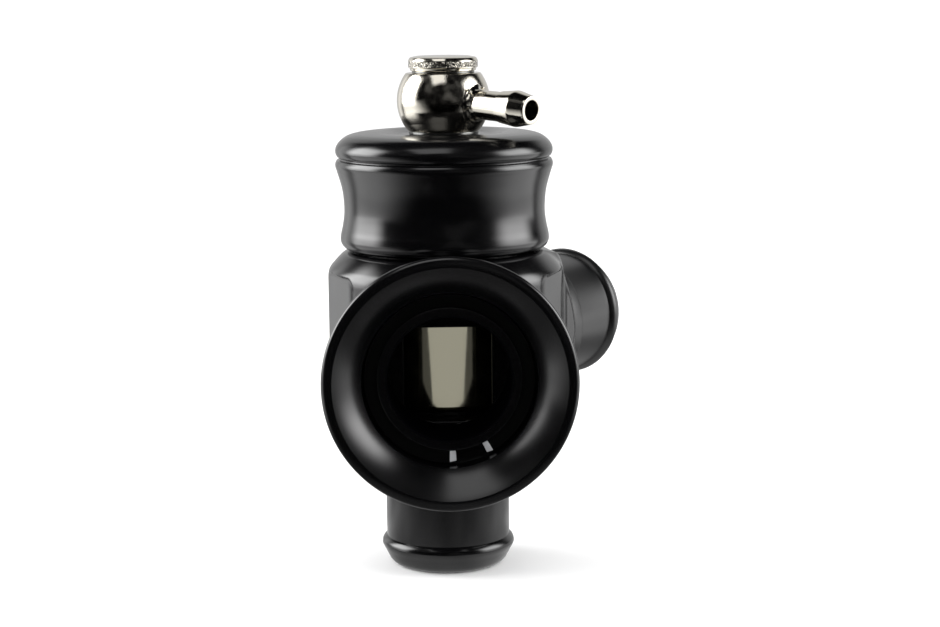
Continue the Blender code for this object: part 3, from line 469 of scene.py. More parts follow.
# %% Electroless nickel on the piston
CHAMPAGNE = bpy.data.materials.new("electroless nickel on aluminium")
CHAMPAGNE.use_nodes = True
tree = CHAMPAGNE.node_tree
shader = tree.nodes["Principled BSDF"]
shader.inputs["Base Color"].default_value = srgb("#cac6b0")
shader.inputs["Metallic"].default_value = 1.0
where = add_node(tree, "ShaderNodeTexCoord")
stretched = add_node(tree, "ShaderNodeMapping", {"Vector": where.outputs["Object"], "Scale": (1, 1, 0.06)})
slides = add_node(
    tree, "ShaderNodeTexNoise", {"Vector": stretched.outputs[0], "Scale": 1 / (0.3 * MM), "Detail": 3.0}
)
patches = add_node(
    tree, "ShaderNodeTexNoise", {"Vector": where.outputs["Object"], "Scale": 1 / (3 * MM), "Detail": 5.0}
)
rough = add_node(
    tree,
    "ShaderNodeMapRange",
    {"Value": patches.outputs[0], "From Min": 0.3, "From Max": 0.7, "To Min": 0.10, "To Max": 0.20},
)
bump = add_node(tree, "ShaderNodeBump", {"Height": slides.outputs[0], "Distance": 0.001 * MM})
tree.links.new(rough.outputs[0], shader.inputs["Roughness"])
tree.links.new(bump.outputs[0], shader.inputs["Normal"])


# %% [markdown]
# The small parts are simpler. The snap ring is spring steel with black phosphate, bare where it was cut.
# The seals are nitrile rubber, dull and faintly mottled. The guide rings are bronze filled PTFE. The spring
# is oil tempered wire. One function makes them all: a base colour, a roughness that a noise of a stated
# grain varies, and a bump from the same noise.


# %% Steel, rubber and plastic
def grained(name, colour, metallic, roughness, grain, depth, spread=0.06):
    made = bpy.data.materials.new(name)
    made.use_nodes = True
    tree = made.node_tree
    shader = tree.nodes["Principled BSDF"]
    shader.inputs["Base Color"].default_value = srgb(colour)
    shader.inputs["Metallic"].default_value = metallic
    where = add_node(tree, "ShaderNodeTexCoord")
    noise = add_node(
        tree, "ShaderNodeTexNoise", {"Vector": where.outputs["Object"], "Scale": 1 / (grain * MM), "Detail": 4.0}
    )
    rough = add_node(
        tree,
        "ShaderNodeMapRange",
        {"Value": noise.outputs[0], "From Min": 0.3, "From Max": 0.7, "To Min": roughness - spread, "To Max": roughness + spread},
    )
    bump = add_node(tree, "ShaderNodeBump", {"Height": noise.outputs[0], "Distance": depth * MM})
    tree.links.new(rough.outputs[0], shader.inputs["Roughness"])
    tree.links.new(bump.outputs[0], shader.inputs["Normal"])
    return made


PHOSPHATE = grained("black phosphate on spring steel", "#030303", 0.0, 0.35, 0.5, 0.004)
PHOSPHATE.node_tree.nodes["Principled BSDF"].inputs["Specular IOR Level"].default_value = 0.25
CUT_STEEL = grained("cut spring steel", "#dfe1e3", 0.4, 0.45, 0.4, 0.004)
WIRE = grained("oil tempered spring wire", "#6a6a6c", 1.0, 0.3, 0.8, 0.002)
NITRILE = grained("nitrile rubber", "#141414", 0.0, 0.6, 0.8, 0.004)
PTFE = grained("bronze filled PTFE", "#4a3d2c", 0.0, 0.5, 0.6, 0.002)
WASHER = grained("soft aluminium washer", "#777775", 1.0, 0.22, 0.5, 0.003)


# %% [markdown]
# A turned piece is one outline spun round an axis. The outline is a list of corners, each with its distance
# from the axis, its height, and the radius that breaks the corner. No real edge is perfectly sharp, and that
# small radius is what catches the light. Curved stretches are given by a few measured points with a smooth
# curve led through them.


# %% Outlines
def leave(radius, height, edge=0.0):
    """One corner of an outline, in millimetres."""
    return Vector((radius, height, edge))


def broken(corners, degrees=12):
    """The outline in metres, each corner with an edge radius turned into a small arc."""
    points = []
    for i, corner in enumerate(corners):
        here, edge = corner.xy, corner.z
        back = corners[i - 1].xy - here
        on = corners[(i + 1) % len(corners)].xy - here
        if edge == 0 or back.length == 0 or on.length == 0:
            points.append(here)
            continue
        half = back.angle(on) / 2
        if half > math.radians(88):
            points.append(here)
            continue
        reach = min(edge / math.tan(half), 0.48 * back.length, 0.48 * on.length)
        radius = reach * math.tan(half)
        centre = here + (back.normalized() + on.normalized()).normalized() * reach / math.cos(half)
        first = here + back.normalized() * reach - centre
        last = here + on.normalized() * reach - centre
        sweep = first.angle_signed(last)
        steps = max(2, round(abs(math.degrees(sweep)) / degrees))
        for k in range(steps + 1):
            turned = first.copy()
            turned.rotate(Matrix.Rotation(-sweep * k / steps, 2))
            points.append(centre + turned.normalized() * radius)
    return [point * MM for point in points]


def led_through(points, steps=6):
    """A smooth curve through the points, as corners with no edge radius."""
    ends = [2 * points[0].xy - points[1].xy, *[p.xy for p in points], 2 * points[-1].xy - points[-2].xy]
    found = []
    for a, b, c, d in zip(ends, ends[1:], ends[2:], ends[3:]):
        for k in range(steps):
            t = k / steps
            spot = (2 * b + (c - a) * t + (2 * a - 5 * b + 4 * c - d) * t**2 + (3 * b - a - 3 * c + d) * t**3) / 2
            found.append(leave(*spot))
    return [*found, leave(*points[-1].xy)]


def turned(name, corners, place, finish, steps=160):
    """Spins an outline round its axis, closes it, and puts it in place."""
    shape = bmesh.new()
    ring = [shape.verts.new((p.x, 0, p.y)) for p in broken(corners)]
    edges = [shape.edges.new(pair) for pair in zip(ring, ring[1:] + ring[:1]) if max(pair[0].co.x, pair[1].co.x) > 1e-9]
    bmesh.ops.spin(
        shape, geom=ring + edges, cent=(0, 0, 0), axis=(0, 0, 1), angle=2 * math.pi, steps=steps, use_merge=True
    )
    bmesh.ops.remove_doubles(shape, verts=shape.verts, dist=1e-7)
    bmesh.ops.recalc_face_normals(shape, faces=shape.faces)
    mesh = bpy.data.meshes.new(name)
    shape.to_mesh(mesh)
    shape.free()
    mesh.transform(place)
    mesh.shade_smooth()
    mesh.set_sharp_from_angle(angle=math.radians(32))
    mesh.materials.append(finish)
    piece = bpy.data.objects.new(name, mesh)
    bpy.context.scene.collection.objects.link(piece)
    print(name, "has", len(mesh.polygons), "faces")
    return piece


def hand_over(piece, body, nodes):
    """The piece rides on a body and stands for those nodes, which are hidden."""
    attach(piece, body)
    if nodes:
        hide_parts(*nodes)
    return piece


# %% [markdown]
# Both hose tails are the same part: a 25 mm tube with a rounded bead that keeps the hose on, a collar that
# meets the body, and a short spigot that holds a seal inside. The outline starts at the open end. The bead
# is one smooth swelling with a crease behind it, and the mouth is rounded both ways.


# %% Hose tails
TAIL_LENGTH = 18.6
COLLAR_TOP = 22.5


def tail_outline():
    nose = led_through(
        [leave(10.35, 0.0), leave(11.1, 0.15), leave(11.75, 0.75), leave(12.25, 1.6), leave(12.75, 2.6), leave(13.25, 3.5), leave(13.46, 4.05)],
        5,
    )
    crease = led_through([leave(13.46, 4.05), leave(13.3, 4.75), leave(12.9, 5.3), leave(12.5, 5.6)], 4)
    collar = [
        leave(12.5, 5.9),
        leave(12.5, TAIL_LENGTH, 0.5),
        leave(14.5, TAIL_LENGTH, 0.45),
        leave(14.5, COLLAR_TOP, 0.45),
        leave(12.3, COLLAR_TOP, 0.1),
    ]
    spigot = [
        leave(12.3, 24.8, 0.1),
        leave(11.0, 24.8, 0.1),
        leave(11.0, 26.7, 0.1),
        leave(12.3, 26.7, 0.1),
        leave(12.3, 29.0, 0.4),
        leave(10.2, 29.0, 0.4),
        leave(10.2, 0.6, 0.0),
        leave(10.28, 0.2, 0.0),
    ]
    return nose + crease[1:] + collar + spigot


inlet_tail = turned("inlet_tail_skin", tail_outline(), standing(low_z("inlet_hose_tail")), BLACK_UP)
hand_over(inlet_tail, "housing", ["inlet_hose_tail"])
REAR_END = 46.8 * MM
rear_place = REAR @ Matrix.Translation((0, 0, REAR_END)) @ Matrix.Rotation(math.pi, 4, "X")
rear_tail = turned("rear_tail_skin", tail_outline(), rear_place, BLACK_REAR)
hand_over(rear_tail, "housing", ["recirc_hose_tail"])

# %% [markdown]
# The cap is a spool: a lip at the bottom, a waist that swells to a rib, one groove, and a lid with a broad
# soft shoulder and a slightly domed top. The waist and the shoulder are curves through measured points, and
# the groove between them has real corners with a small radius. Inside, a skirt fits over the body, a step stops the
# piston at full lift, and a chamber holds the spring.

# %% Cap
cap_waist = led_through(
    [
        leave(19.2, 0.0),
        leave(20.0, 0.4),
        leave(20.55, 1.0),
        leave(20.87, 1.9),
        leave(20.75, 3.2),
        leave(20.45, 4.5),
        leave(20.12, 6.6),
        leave(20.05, 8.3),
        leave(20.17, 10.4),
        leave(20.37, 11.9),
        leave(20.7, 13.3),
        leave(21.08, 14.6),
        leave(21.44, 15.8),
        leave(21.66, 16.5),
        leave(21.7, 16.95),
        leave(21.6, 17.4),
        leave(21.4, 17.8),
    ],
    5,
)
cap_shoulder = led_through(
    [
        leave(21.3, 18.55),
        leave(21.53, 18.95),
        leave(21.65, 19.5),
        leave(21.62, 20.05),
        leave(21.4, 20.65),
        leave(21.0, 21.25),
        leave(20.3, 21.93),
        leave(19.4, 22.5),
        leave(18.4, 22.84),
        leave(17.2, 23.06),
        leave(15.0, 23.25),
        leave(12.7, 23.28),
    ],
    5,
)
cap_outline = [
    leave(17.5, 0.0, 0.15),
    *cap_waist,
    leave(20.95, 18.05, 0.12),
    leave(20.95, 18.3, 0.12),
    *cap_shoulder,
    leave(9.8, 22.7, 0.8),
    leave(5.0, 22.7, 0.15),
    leave(5.0, 18.7, 0.15),
    leave(11.8, 18.7, 0.3),
    leave(11.8, 10.0, 0.3),
    leave(17.5, 10.0, 0.3),
]
cap = turned("cap_skin", cap_outline, standing(low_z("cap")), BLACK_UP, steps=224)
hand_over(cap, "housing", ["cap"])

# %% [markdown]
# The trumpet is a horn. Its mouth has a rolled lip, the flare inside runs in one smooth convex curve down
# to the pocket where the snap ring sits, and the outside follows it at nearly the same wall. Heights are
# measured out from the piston's axis.

# %% Trumpet
def paint_inside(piece, place, finish, wanted):
    """Gives a second finish to the faces whose middle, in millimetres from the axis and along it, is wanted."""
    piece.data.materials.append(finish)
    back = place.inverted()
    for face in piece.data.polygons:
        spot = back @ face.center / MM
        if wanted(math.hypot(spot.x, spot.y), spot.z):
            face.material_index = 1


def arc(radius, height, reach, first, last, steps):
    """Points on an arc round a centre. Nought degrees is straight up, and 90 is towards the axis."""
    turns = [math.radians(first + (last - first) * k / steps) for k in range(steps + 1)]
    return [leave(radius - reach * math.sin(t), height + reach * math.cos(t)) for t in turns]


flare = arc(31.3, 21.74, 18.6, 52, 30, 24)
lip = arc(22.2, 34.35, 3.6, 2.5, -20, 6) + arc(23.11, 36.85, 0.93, -20, -90, 8)
back_flare = led_through(
    [leave(24.04, 36.6), leave(23.8, 35.8), leave(23.0, 35.0), leave(21.4, 34.0), leave(19.9, 32.4), leave(18.8, 30.6), leave(18.15, 28.7), leave(18.0, 27.0)], 5
)
print("flare from", [round(v, 2) for v in flare[0].xy], "to", [round(v, 2) for v in flare[-1].xy])
trumpet_outline = [
    *flare,
    *lip,
    *back_flare,
    leave(18.0, 21.8, 0.4),
    leave(14.05, 21.8, 0.3),
    leave(14.05, 28.9, 0.2),
    leave(16.65, 28.9, 0.2),
    leave(16.65, 32.8, 0.0),
]
trumpet = turned("trumpet_skin", trumpet_outline, FRONT, BLACK_FRONT, steps=256)
paint_inside(trumpet, FRONT, BLACK_FLARE, lambda radius, height: radius < 22.0 and height > 17.5 + 0.9 * radius)
hand_over(trumpet, "trumpet", ["trumpet"])


# %% [markdown]
# The body was turned first and then milled: a flat on each side, a raised pad for the rear port, and a
# spot face for the trumpet. A ball nosed cutter leaves a small fillet wherever two of those cuts meet, and
# every outer edge is broken. Plain Booleans give neither, so the body is written as a distance instead.
# Each feature is a function that says how far a point lies outside it. Two features are joined or cut with
# a smooth minimum or maximum, whose width is the fillet's. A net of points is then laid over the surface
# where that distance is nought, and each point is slid exactly onto it.


# %% Distances that blend
def smooth_max(a, b, width):
    """The larger of two distances, with a rounded change over. It cuts, or keeps what is in both."""
    near = np.maximum(width - np.abs(a - b), 0) / width
    return np.maximum(a, b) + near * near * width / 4


def smooth_min(a, b, width):
    """The smaller of two distances, with a fillet. It joins."""
    return -smooth_max(-a, -b, width)


EDGE = 0.7
FILLET = 2.4
GROUND = low_z("body") / MM
TOP = 64.0
FRONT_Z = FRONT.translation.z / MM
REAR_Z = REAR.translation.z / MM


def billet(x, y, z):
    """Distance outside the milled body, in millimetres, with the piston's axis at x = y = 0."""
    radius = np.hypot(x, y)
    slope = math.sqrt(0.5)
    column = smooth_max(radius - 23.7, (radius - 22.15) * 0.777 + (z - 61.9) * 0.629, 1.0)
    column = smooth_max(column, (radius - 20.75) * 0.588 + (z - 63.5) * 0.809, 0.8)
    column = smooth_max(column, (radius - 18.0 - z + GROUND) * slope, 1.2)
    column = smooth_max(column, z - TOP, EDGE)
    column = smooth_max(column, GROUND - z, EDGE)
    for side in (-1, 1):
        out = side * x * math.cos(math.radians(18)) - y * math.sin(math.radians(18)) - 22.25
        along = side * x * math.sin(math.radians(18)) + y * math.cos(math.radians(18))
        ahead = np.maximum(-9.0 + 3.0 - along, 0)
        high = np.maximum(z - (TOP - 4.2) + 3.0, 0)
        low = np.maximum(GROUND + 7.7 + 3.0 - z, 0)
        window = np.hypot(ahead, np.maximum(high, low)) - 3.0
        column = smooth_max(column, -smooth_max(-out, window, 0.6), EDGE)
    away = x * math.sin(REAR_ANGLE) + y * math.cos(REAR_ANGLE)
    across = x * math.cos(REAR_ANGLE) - y * math.sin(REAR_ANGLE)
    rise = np.abs(z - REAR_Z) - 3.5
    belly = smooth_max(radius - 28.8, ((radius - 28.8) * 12.8 + rise * 5.8) / 14.05, 3.0)
    pad = smooth_max(belly, np.maximum(np.abs(across) - 16.1, rise - 12.8), 1.2)
    pad = smooth_max(pad, -away, EDGE)
    shape = smooth_min(column, pad, FILLET)
    port = np.hypot(x, z - FRONT_Z)
    spot = smooth_max(port - 19.2, y + 21.0, EDGE)
    shape = smooth_max(shape, -spot, EDGE)
    boss = smooth_max(port - 18.0, -21.5 - y, EDGE)
    boss = smooth_max(boss, y + 10.0, EDGE)
    shape = np.minimum(shape, boss)
    shape = smooth_max(shape, away - 24.0, EDGE)
    inlet = smooth_max(radius - 12.6, z - 29.3, 0.2)
    seat = smooth_max(radius - 10.2, z - 33.0, 0.2)
    gallery = smooth_max(radius - 17.0, np.maximum(32.2 - z, z - 50.6), 0.3)
    gallery = np.maximum(gallery, -np.maximum(np.maximum(radius - 11.6, 10.2 - radius), z - 33.0))
    guide = np.maximum(radius - 13.7, 50.3 - z)
    front_port = np.maximum(port - 11.95, y + 16.4)
    window = np.maximum(np.maximum(np.abs(x) - 8.5, np.abs(z - 41.4) - 9.2), np.abs(y + 15.0) - 3.0)
    rear_port = np.maximum(np.hypot(across, z - REAR_Z) - 12.6, 16.4 - away)
    bores = np.minimum.reduce([inlet, seat, gallery, guide, front_port, window, rear_port])
    return smooth_max(shape, -bores, 0.5)


# %% A net over the surface
def net_over(distance, low, high, step):
    """Points and four sided faces on the surface where the distance is nought, and the surface's normals."""
    counts = [int(math.ceil((b - a) / step)) + 1 for a, b in zip(low, high)]
    axes = [a + step * np.arange(n) for a, n in zip(low, counts)]
    grid = distance(*np.meshgrid(*axes, indexing="ij"))
    inside = grid < 0
    total = np.zeros([n - 1 for n in counts] + [3])
    hits = np.zeros([n - 1 for n in counts])
    quads = []
    number = -np.ones([n - 1 for n in counts], int)
    crossings = []
    for axis in range(3):
        first = [slice(None)] * 3
        second = [slice(None)] * 3
        first[axis], second[axis] = slice(0, -1), slice(1, None)
        a, b = grid[tuple(first)], grid[tuple(second)]
        crossed = (a < 0) != (b < 0)
        at = np.argwhere(crossed)
        share = a[crossed] / (a[crossed] - b[crossed])
        spot = at.astype(float)
        spot[:, axis] += share
        others = [k for k in range(3) if k != axis]
        around = []
        for da in (-1, 0):
            for db in (-1, 0):
                cell = at.copy()
                cell[:, others[0]] += da
                cell[:, others[1]] += db
                around.append(cell)
                np.add.at(total, tuple(cell.T), spot)
                np.add.at(hits, tuple(cell.T), 1)
        crossings.append((axis, around, a[crossed] < 0))
    used = hits > 0
    number[used] = np.arange(used.sum())
    points = total[used] / hits[used][:, None] * step + np.array(low)
    for axis, around, inward in crossings:
        ids = [number[tuple(cell.T)] for cell in around]
        quad = np.stack([ids[0], ids[1], ids[3], ids[2]], axis=1)
        flip = ~inward if axis == 1 else inward
        quad[flip] = quad[flip][:, ::-1]
        quads.append(quad)

    def slope(p):
        tiny = 0.02
        parts = []
        for axis in range(3):
            shift = np.zeros(3)
            shift[axis] = tiny
            parts.append((distance(*(p + shift).T) - distance(*(p - shift).T)) / (2 * tiny))
        return np.stack(parts, axis=1)

    for _ in range(3):
        way = slope(points)
        size = np.maximum((way**2).sum(1), 0.2)
        points = points - way * (distance(*points.T) / size)[:, None]
    return points, np.concatenate(quads), slope(points)


# %% Body
points, faces, slopes = net_over(billet, (-24.7, -23.3, 21.9), (28.5, 29.9, 65.1), 0.42)
body_mesh = bpy.data.meshes.new("body_skin")
body_mesh.from_pydata((points * MM).tolist(), [], faces.tolist())
body_mesh.validate()
body_mesh.transform(UP)
body_mesh.shade_smooth()
body_mesh.materials.append(BLACK_UP)
normals = slopes / np.linalg.norm(slopes, axis=1)[:, None]
body_mesh.normals_split_custom_set_from_vertices(normals.tolist())
body_skin = bpy.data.objects.new("body_skin", body_mesh)
bpy.context.scene.collection.objects.link(body_skin)
hand_over(body_skin, "housing", ["body"])
print("body has", len(body_mesh.polygons), "faces")

# %% [markdown]
# Two round stretches of the body are turned by themselves, because their grooves want crisper corners than
# the net gives: the neck that the trumpet turns on, and the threaded spigot under the cap. Each starts a
# little inside the billet.

# %% Neck and spigot
neck_outline = [
    leave(11.75, 16.6, 0.0),
    leave(12.6, 20.6, 0.0),
    leave(13.75, 20.6, 0.0),
    leave(13.75, 23.4, 0.1),
    leave(12.45, 23.4, 0.1),
    leave(12.45, 25.3, 0.1),
    leave(13.75, 25.3, 0.1),
    leave(13.75, 28.9, 0.12),
    leave(12.95, 28.9, 0.08),
    leave(12.95, 30.5, 0.08),
    leave(13.75, 30.5, 0.15),
    leave(13.75, 31.4, 0.3),
    leave(11.75, 31.4, 0.35),
]
neck = turned("body_neck_skin", neck_outline, FRONT, BLACK_FRONT, steps=192)
# The inside of the neck gets the finish that reflects nothing: painted shade down the bore.
paint_inside(neck, FRONT, BORE_PAINTED_SHADE, lambda radius, height: radius < 12.2)
hand_over(neck, "housing", ["body"])
spigot_outline = [
    leave(13.7, 62.5),
    leave(17.2, 62.5),
    leave(17.2, 65.9, 0.1),
    leave(15.9, 65.9, 0.1),
    leave(15.9, 67.8, 0.1),
    leave(17.2, 67.8, 0.1),
    leave(17.2, 73.2, 0.1),
    leave(16.4, 74.0, 0.1),
    leave(13.7, 74.0, 0.3),
]
spigot = turned("body_spigot_skin", spigot_outline, UP, BLACK_UP, steps=128)
hand_over(spigot, "housing", ["body"])

# %% [markdown]
# The piston is a cup with two guide rings in its upper grooves. Only a strip of its front shows through the
# port, but it lifts, so the whole of it is made.

# %% Piston and guide rings
piston_outline = [
    leave(0, 0),
    leave(12.5, 0, 0.1),
    leave(13.4, 0.9, 0.15),
    leave(13.4, 18.6, 0.08),
    leave(12.4, 18.6, 0.08),
    leave(12.4, 20.2, 0.08),
    leave(13.4, 20.2, 0.08),
    leave(13.4, 24.1, 0.08),
    leave(12.4, 24.1, 0.08),
    leave(12.4, 25.7, 0.08),
    leave(13.4, 25.7, 0.08),
    leave(13.4, 28.2, 0.25),
    leave(11.0, 28.2, 0.25),
    leave(11.0, 3.7, 0.8),
    leave(0, 3.7),
]
piston = turned("piston_skin", piston_outline, standing(low_z("piston")), CHAMPAGNE, steps=160)
hand_over(piston, "piston", ["piston"])
lit_by_cards.objects.link(piston)
for node in ("piston_upper_ring", "piston_lower_ring"):
    ring_outline = [leave(12.5, 0, 0.1), leave(13.55, 0, 0.15), leave(13.55, 1.4, 0.15), leave(12.5, 1.4, 0.1)]
    guide_ring = turned(node + "_skin", ring_outline, standing(low_z(node)), PTFE, steps=128)
    hand_over(guide_ring, "piston", [node])

# %% [markdown]
# Four seals, one snap ring and one spring are all the same idea: a section swept along a path that follows
# a rule. That is work for Geometry Nodes. The first tree sweeps a round section round a full circle and
# serves all four seals, each with its own sizes.


# %% Geometry Nodes: sweep a section along a path
def new_tree(name, sizes):
    """An empty node tree with a named size input for each entry, and its two end nodes."""
    tree = bpy.data.node_groups.new(name, "GeometryNodeTree")
    tree.interface.new_socket("Geometry", in_out="OUTPUT", socket_type="NodeSocketGeometry")
    for label, kind in sizes.items():
        tree.interface.new_socket(label, in_out="INPUT", socket_type=kind)
    return tree, tree.nodes.new("NodeGroupInput"), tree.nodes.new("NodeGroupOutput")


def finish_tree(tree, geometry, material_socket, end):
    """Every tree ends in the same way: real geometry, with its material set."""
    real = add_node(tree, "GeometryNodeRealizeInstances", {"Geometry": geometry})
    painted = add_node(tree, "GeometryNodeSetMaterial", {"Geometry": real.outputs[0], "Material": material_socket})
    tree.links.new(painted.outputs[0], end.inputs["Geometry"])


def grow(name, tree, values, place):
    """Runs a tree with those input values on an empty mesh, and keeps the result as a plain mesh."""
    seed = bpy.data.objects.new(name + "_seed", bpy.data.meshes.new(name + "_seed"))
    bpy.context.scene.collection.objects.link(seed)
    modifier = seed.modifiers.new(name, "NODES")
    modifier.node_group = tree
    for item in tree.interface.items_tree:
        if item.item_type == "SOCKET" and item.in_out == "INPUT":
            modifier[item.identifier] = values[item.name]
    bpy.context.view_layer.update()
    mesh = bpy.data.meshes.new_from_object(seed.evaluated_get(bpy.context.evaluated_depsgraph_get()))
    seed.modifiers.remove(modifier)
    bpy.data.objects.remove(seed)
    mesh.name = name
    mesh.transform(place)
    piece = bpy.data.objects.new(name, mesh)
    bpy.context.scene.collection.objects.link(piece)
    print(name, "has", len(mesh.polygons), "faces")
    return piece


SIZE = "NodeSocketFloat"
COUNT = "NodeSocketInt"
seal_tree, start, end = new_tree(
    "seal", {"Ring radius": SIZE, "Section radius": SIZE, "Material": "NodeSocketMaterial"}
)
path = add_node(seal_tree, "GeometryNodeCurvePrimitiveCircle", {"Resolution": 128, "Radius": start.outputs["Ring radius"]})
section = add_node(
    seal_tree, "GeometryNodeCurvePrimitiveCircle", {"Resolution": 20, "Radius": start.outputs["Section radius"]}
)
swept = add_node(
    seal_tree, "GeometryNodeCurveToMesh", {"Curve": path.outputs[0], "Profile Curve": section.outputs[0]}
)
finish_tree(seal_tree, swept.outputs[0], start.outputs["Material"], end)

# %% Seals
SEALS = {
    "cap_o_ring": (standing(middle("cap_o_ring").z), 16.7),
    "inlet_o_ring": (standing(middle("inlet_o_ring").z), 11.8),
    "recirc_o_ring": (rear_place @ Matrix.Translation((0, 0, 25.75 * MM)), 11.8),
    "trumpet_o_ring": (FRONT @ Matrix.Translation((0, 0, 24.35 * MM)), 13.25),
}
for node, (place, ring_radius) in SEALS.items():
    sizes = {"Ring radius": ring_radius * MM, "Section radius": 0.7 * MM, "Material": NITRILE}
    hand_over(grow(node + "_skin", seal_tree, sizes, place), "housing", [node])

# %% [markdown]
# The snap ring keeps the trumpet on its neck. It is a flat ring of square section with an opening, and its
# two cut ends are bare and ground to a slope, so that they flash in the picture. The tree sweeps a
# rectangle along an arc, and makes three of them: a long black one and two short bright ones. The front
# edge of each bright one is then lowered towards its cut.

# %% Snap ring
ring_tree, start, end = new_tree(
    "snap ring",
    {"Middle radius": SIZE, "Width": SIZE, "Thickness": SIZE, "From angle": SIZE, "Sweep angle": SIZE, "Steps": COUNT, "Material": "NodeSocketMaterial"},
)
arc = add_node(
    ring_tree,
    "GeometryNodeCurveArc",
    {
        "Resolution": start.outputs["Steps"],
        "Radius": start.outputs["Middle radius"],
        "Start Angle": start.outputs["From angle"],
        "Sweep Angle": start.outputs["Sweep angle"],
    },
)
upright = add_node(ring_tree, "GeometryNodeSetCurveNormal", {"Curve": arc.outputs[0]}, mode="Z_UP")
bar = add_node(
    ring_tree,
    "GeometryNodeCurvePrimitiveQuadrilateral",
    {"Width": start.outputs["Width"], "Height": start.outputs["Thickness"]},
)
swept = add_node(
    ring_tree,
    "GeometryNodeCurveToMesh",
    {"Curve": upright.outputs[0], "Profile Curve": bar.outputs[0], "Fill Caps": True},
)
finish_tree(ring_tree, swept.outputs[0], start.outputs["Material"], end)

RING_MIDDLE = FRONT @ Matrix.Translation((0, 0, 29.7 * MM))
OPENING_MIDDLE = math.radians(-90 + 14.9)
OPENING = math.radians(21.5)
END_LENGTH = math.radians(4.6)
ring_sizes = {"Middle radius": 14.55 * MM, "Width": 3.0 * MM, "Thickness": 1.3 * MM}
first_angle = OPENING_MIDDLE + OPENING / 2
last_angle = OPENING_MIDDLE - OPENING / 2 - END_LENGTH
long_sweep = 2 * math.pi - OPENING - 2 * END_LENGTH
arcs = [
    ("snap_ring_skin", PHOSPHATE, first_angle + END_LENGTH, long_sweep, 180, ["trumpet_snap_ring"]),
    ("snap_ring_near_end", CUT_STEEL, first_angle, END_LENGTH, 5, []),
    ("snap_ring_far_end", CUT_STEEL, last_angle, END_LENGTH, 5, []),
]
for name, finish, from_angle, sweep, steps, nodes in arcs:
    values = {**ring_sizes, "From angle": from_angle, "Sweep angle": sweep, "Steps": steps, "Material": finish}
    arc_piece = grow(name, ring_tree, values, Matrix())
    if not nodes:
        for vertex in arc_piece.data.vertices:
            turned_by = math.atan2(vertex.co.y, vertex.co.x)
            from_cut = abs(turned_by - (first_angle if from_angle == first_angle else last_angle + END_LENGTH))
            if vertex.co.z > 0:
                vertex.co.z -= 0.95 * MM * (1 - from_cut / END_LENGTH)
    arc_piece.data.transform(RING_MIDDLE)
    arc_piece.data.set_sharp_from_angle(angle=math.radians(30))
    hand_over(arc_piece, "housing", nodes)

# %% [markdown]
# The spring is wound from 2.2 mm wire with its end turns closed, so that it sits flat. A line of points is
# bent into a helix by one rule: the angle grows evenly, and the height grows slowly in the first and last
# turn and evenly between them. The rule is written with math nodes on each point's number.

# %% Spring
spring_tree, start, end = new_tree(
    "spring",
    {"Coil radius": SIZE, "Wire radius": SIZE, "Turns": SIZE, "Height": SIZE, "Closed rise": SIZE, "Points": COUNT, "Material": "NodeSocketMaterial"},
)
line = add_node(spring_tree, "GeometryNodeMeshLine", {"Count": start.outputs["Points"], "Start Location": (0, 0, 0), "Offset": (0, 0, MM)})
wire = add_node(spring_tree, "GeometryNodeMeshToCurve", {"Mesh": line.outputs[0]})
index = add_node(spring_tree, "GeometryNodeInputIndex")


def calculate(operation, *values):
    """One math node in the spring's tree."""
    return add_node(spring_tree, "ShaderNodeMath", dict(enumerate(values)), operation=operation).outputs[0]


last = calculate("SUBTRACT", start.outputs["Points"], 1.0)
turns = calculate("MULTIPLY", calculate("DIVIDE", index.outputs[0], last), start.outputs["Turns"])
angle = calculate("MULTIPLY", turns, 2 * math.pi)
live_turns = calculate("SUBTRACT", start.outputs["Turns"], 2.0)
live = calculate("MINIMUM", calculate("MAXIMUM", calculate("SUBTRACT", turns, 1.0), 0.0), live_turns)
live_height = calculate("SUBTRACT", start.outputs["Height"], calculate("MULTIPLY", start.outputs["Closed rise"], 2.0))
live_rise = calculate("DIVIDE", live_height, live_turns)
closed = calculate("MULTIPLY", calculate("SUBTRACT", turns, live), start.outputs["Closed rise"])
height = calculate("ADD", closed, calculate("MULTIPLY", live, live_rise))
along_x = calculate("MULTIPLY", calculate("COSINE", angle), start.outputs["Coil radius"])
along_y = calculate("MULTIPLY", calculate("SINE", angle), start.outputs["Coil radius"])
spot = add_node(spring_tree, "ShaderNodeCombineXYZ", {"X": along_x, "Y": along_y, "Z": height})
bent = add_node(spring_tree, "GeometryNodeSetPosition", {"Geometry": wire.outputs[0], "Position": spot.outputs[0]})
section = add_node(
    spring_tree, "GeometryNodeCurvePrimitiveCircle", {"Resolution": 16, "Radius": start.outputs["Wire radius"]}
)
swept = add_node(
    spring_tree,
    "GeometryNodeCurveToMesh",
    {"Curve": bent.outputs[0], "Profile Curve": section.outputs[0], "Fill Caps": True},
)
finish_tree(spring_tree, swept.outputs[0], start.outputs["Material"], end)

spring_low, spring_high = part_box("spring")
WIRE_RADIUS = 1.1 * MM
spring_sizes = {
    "Coil radius": 8.9 * MM,
    "Wire radius": WIRE_RADIUS,
    "Turns": 7.0,
    "Height": spring_high.z - spring_low.z - 2 * WIRE_RADIUS,
    "Closed rise": 2.42 * MM,
    "Points": 7 * 40 + 1,
    "Material": WIRE,
}
spring = grow("spring_skin", spring_tree, spring_sizes, standing(spring_low.z + WIRE_RADIUS))
spring.data.shade_smooth()
spring.data.set_sharp_from_angle(angle=math.radians(50))
hand_over(spring, "housing", ["spring"])
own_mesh(spring)
seat_outline = [leave(6.5, 0, 0.1), leave(11.1, 0, 0.1), leave(11.1, 0.8, 0.1), leave(6.5, 0.8, 0.1)]
spring_seat = turned("spring_seat_skin", seat_outline, standing(low_z("spring_seat")), WIRE, steps=96)
hand_over(spring_seat, "housing", ["spring_seat"])

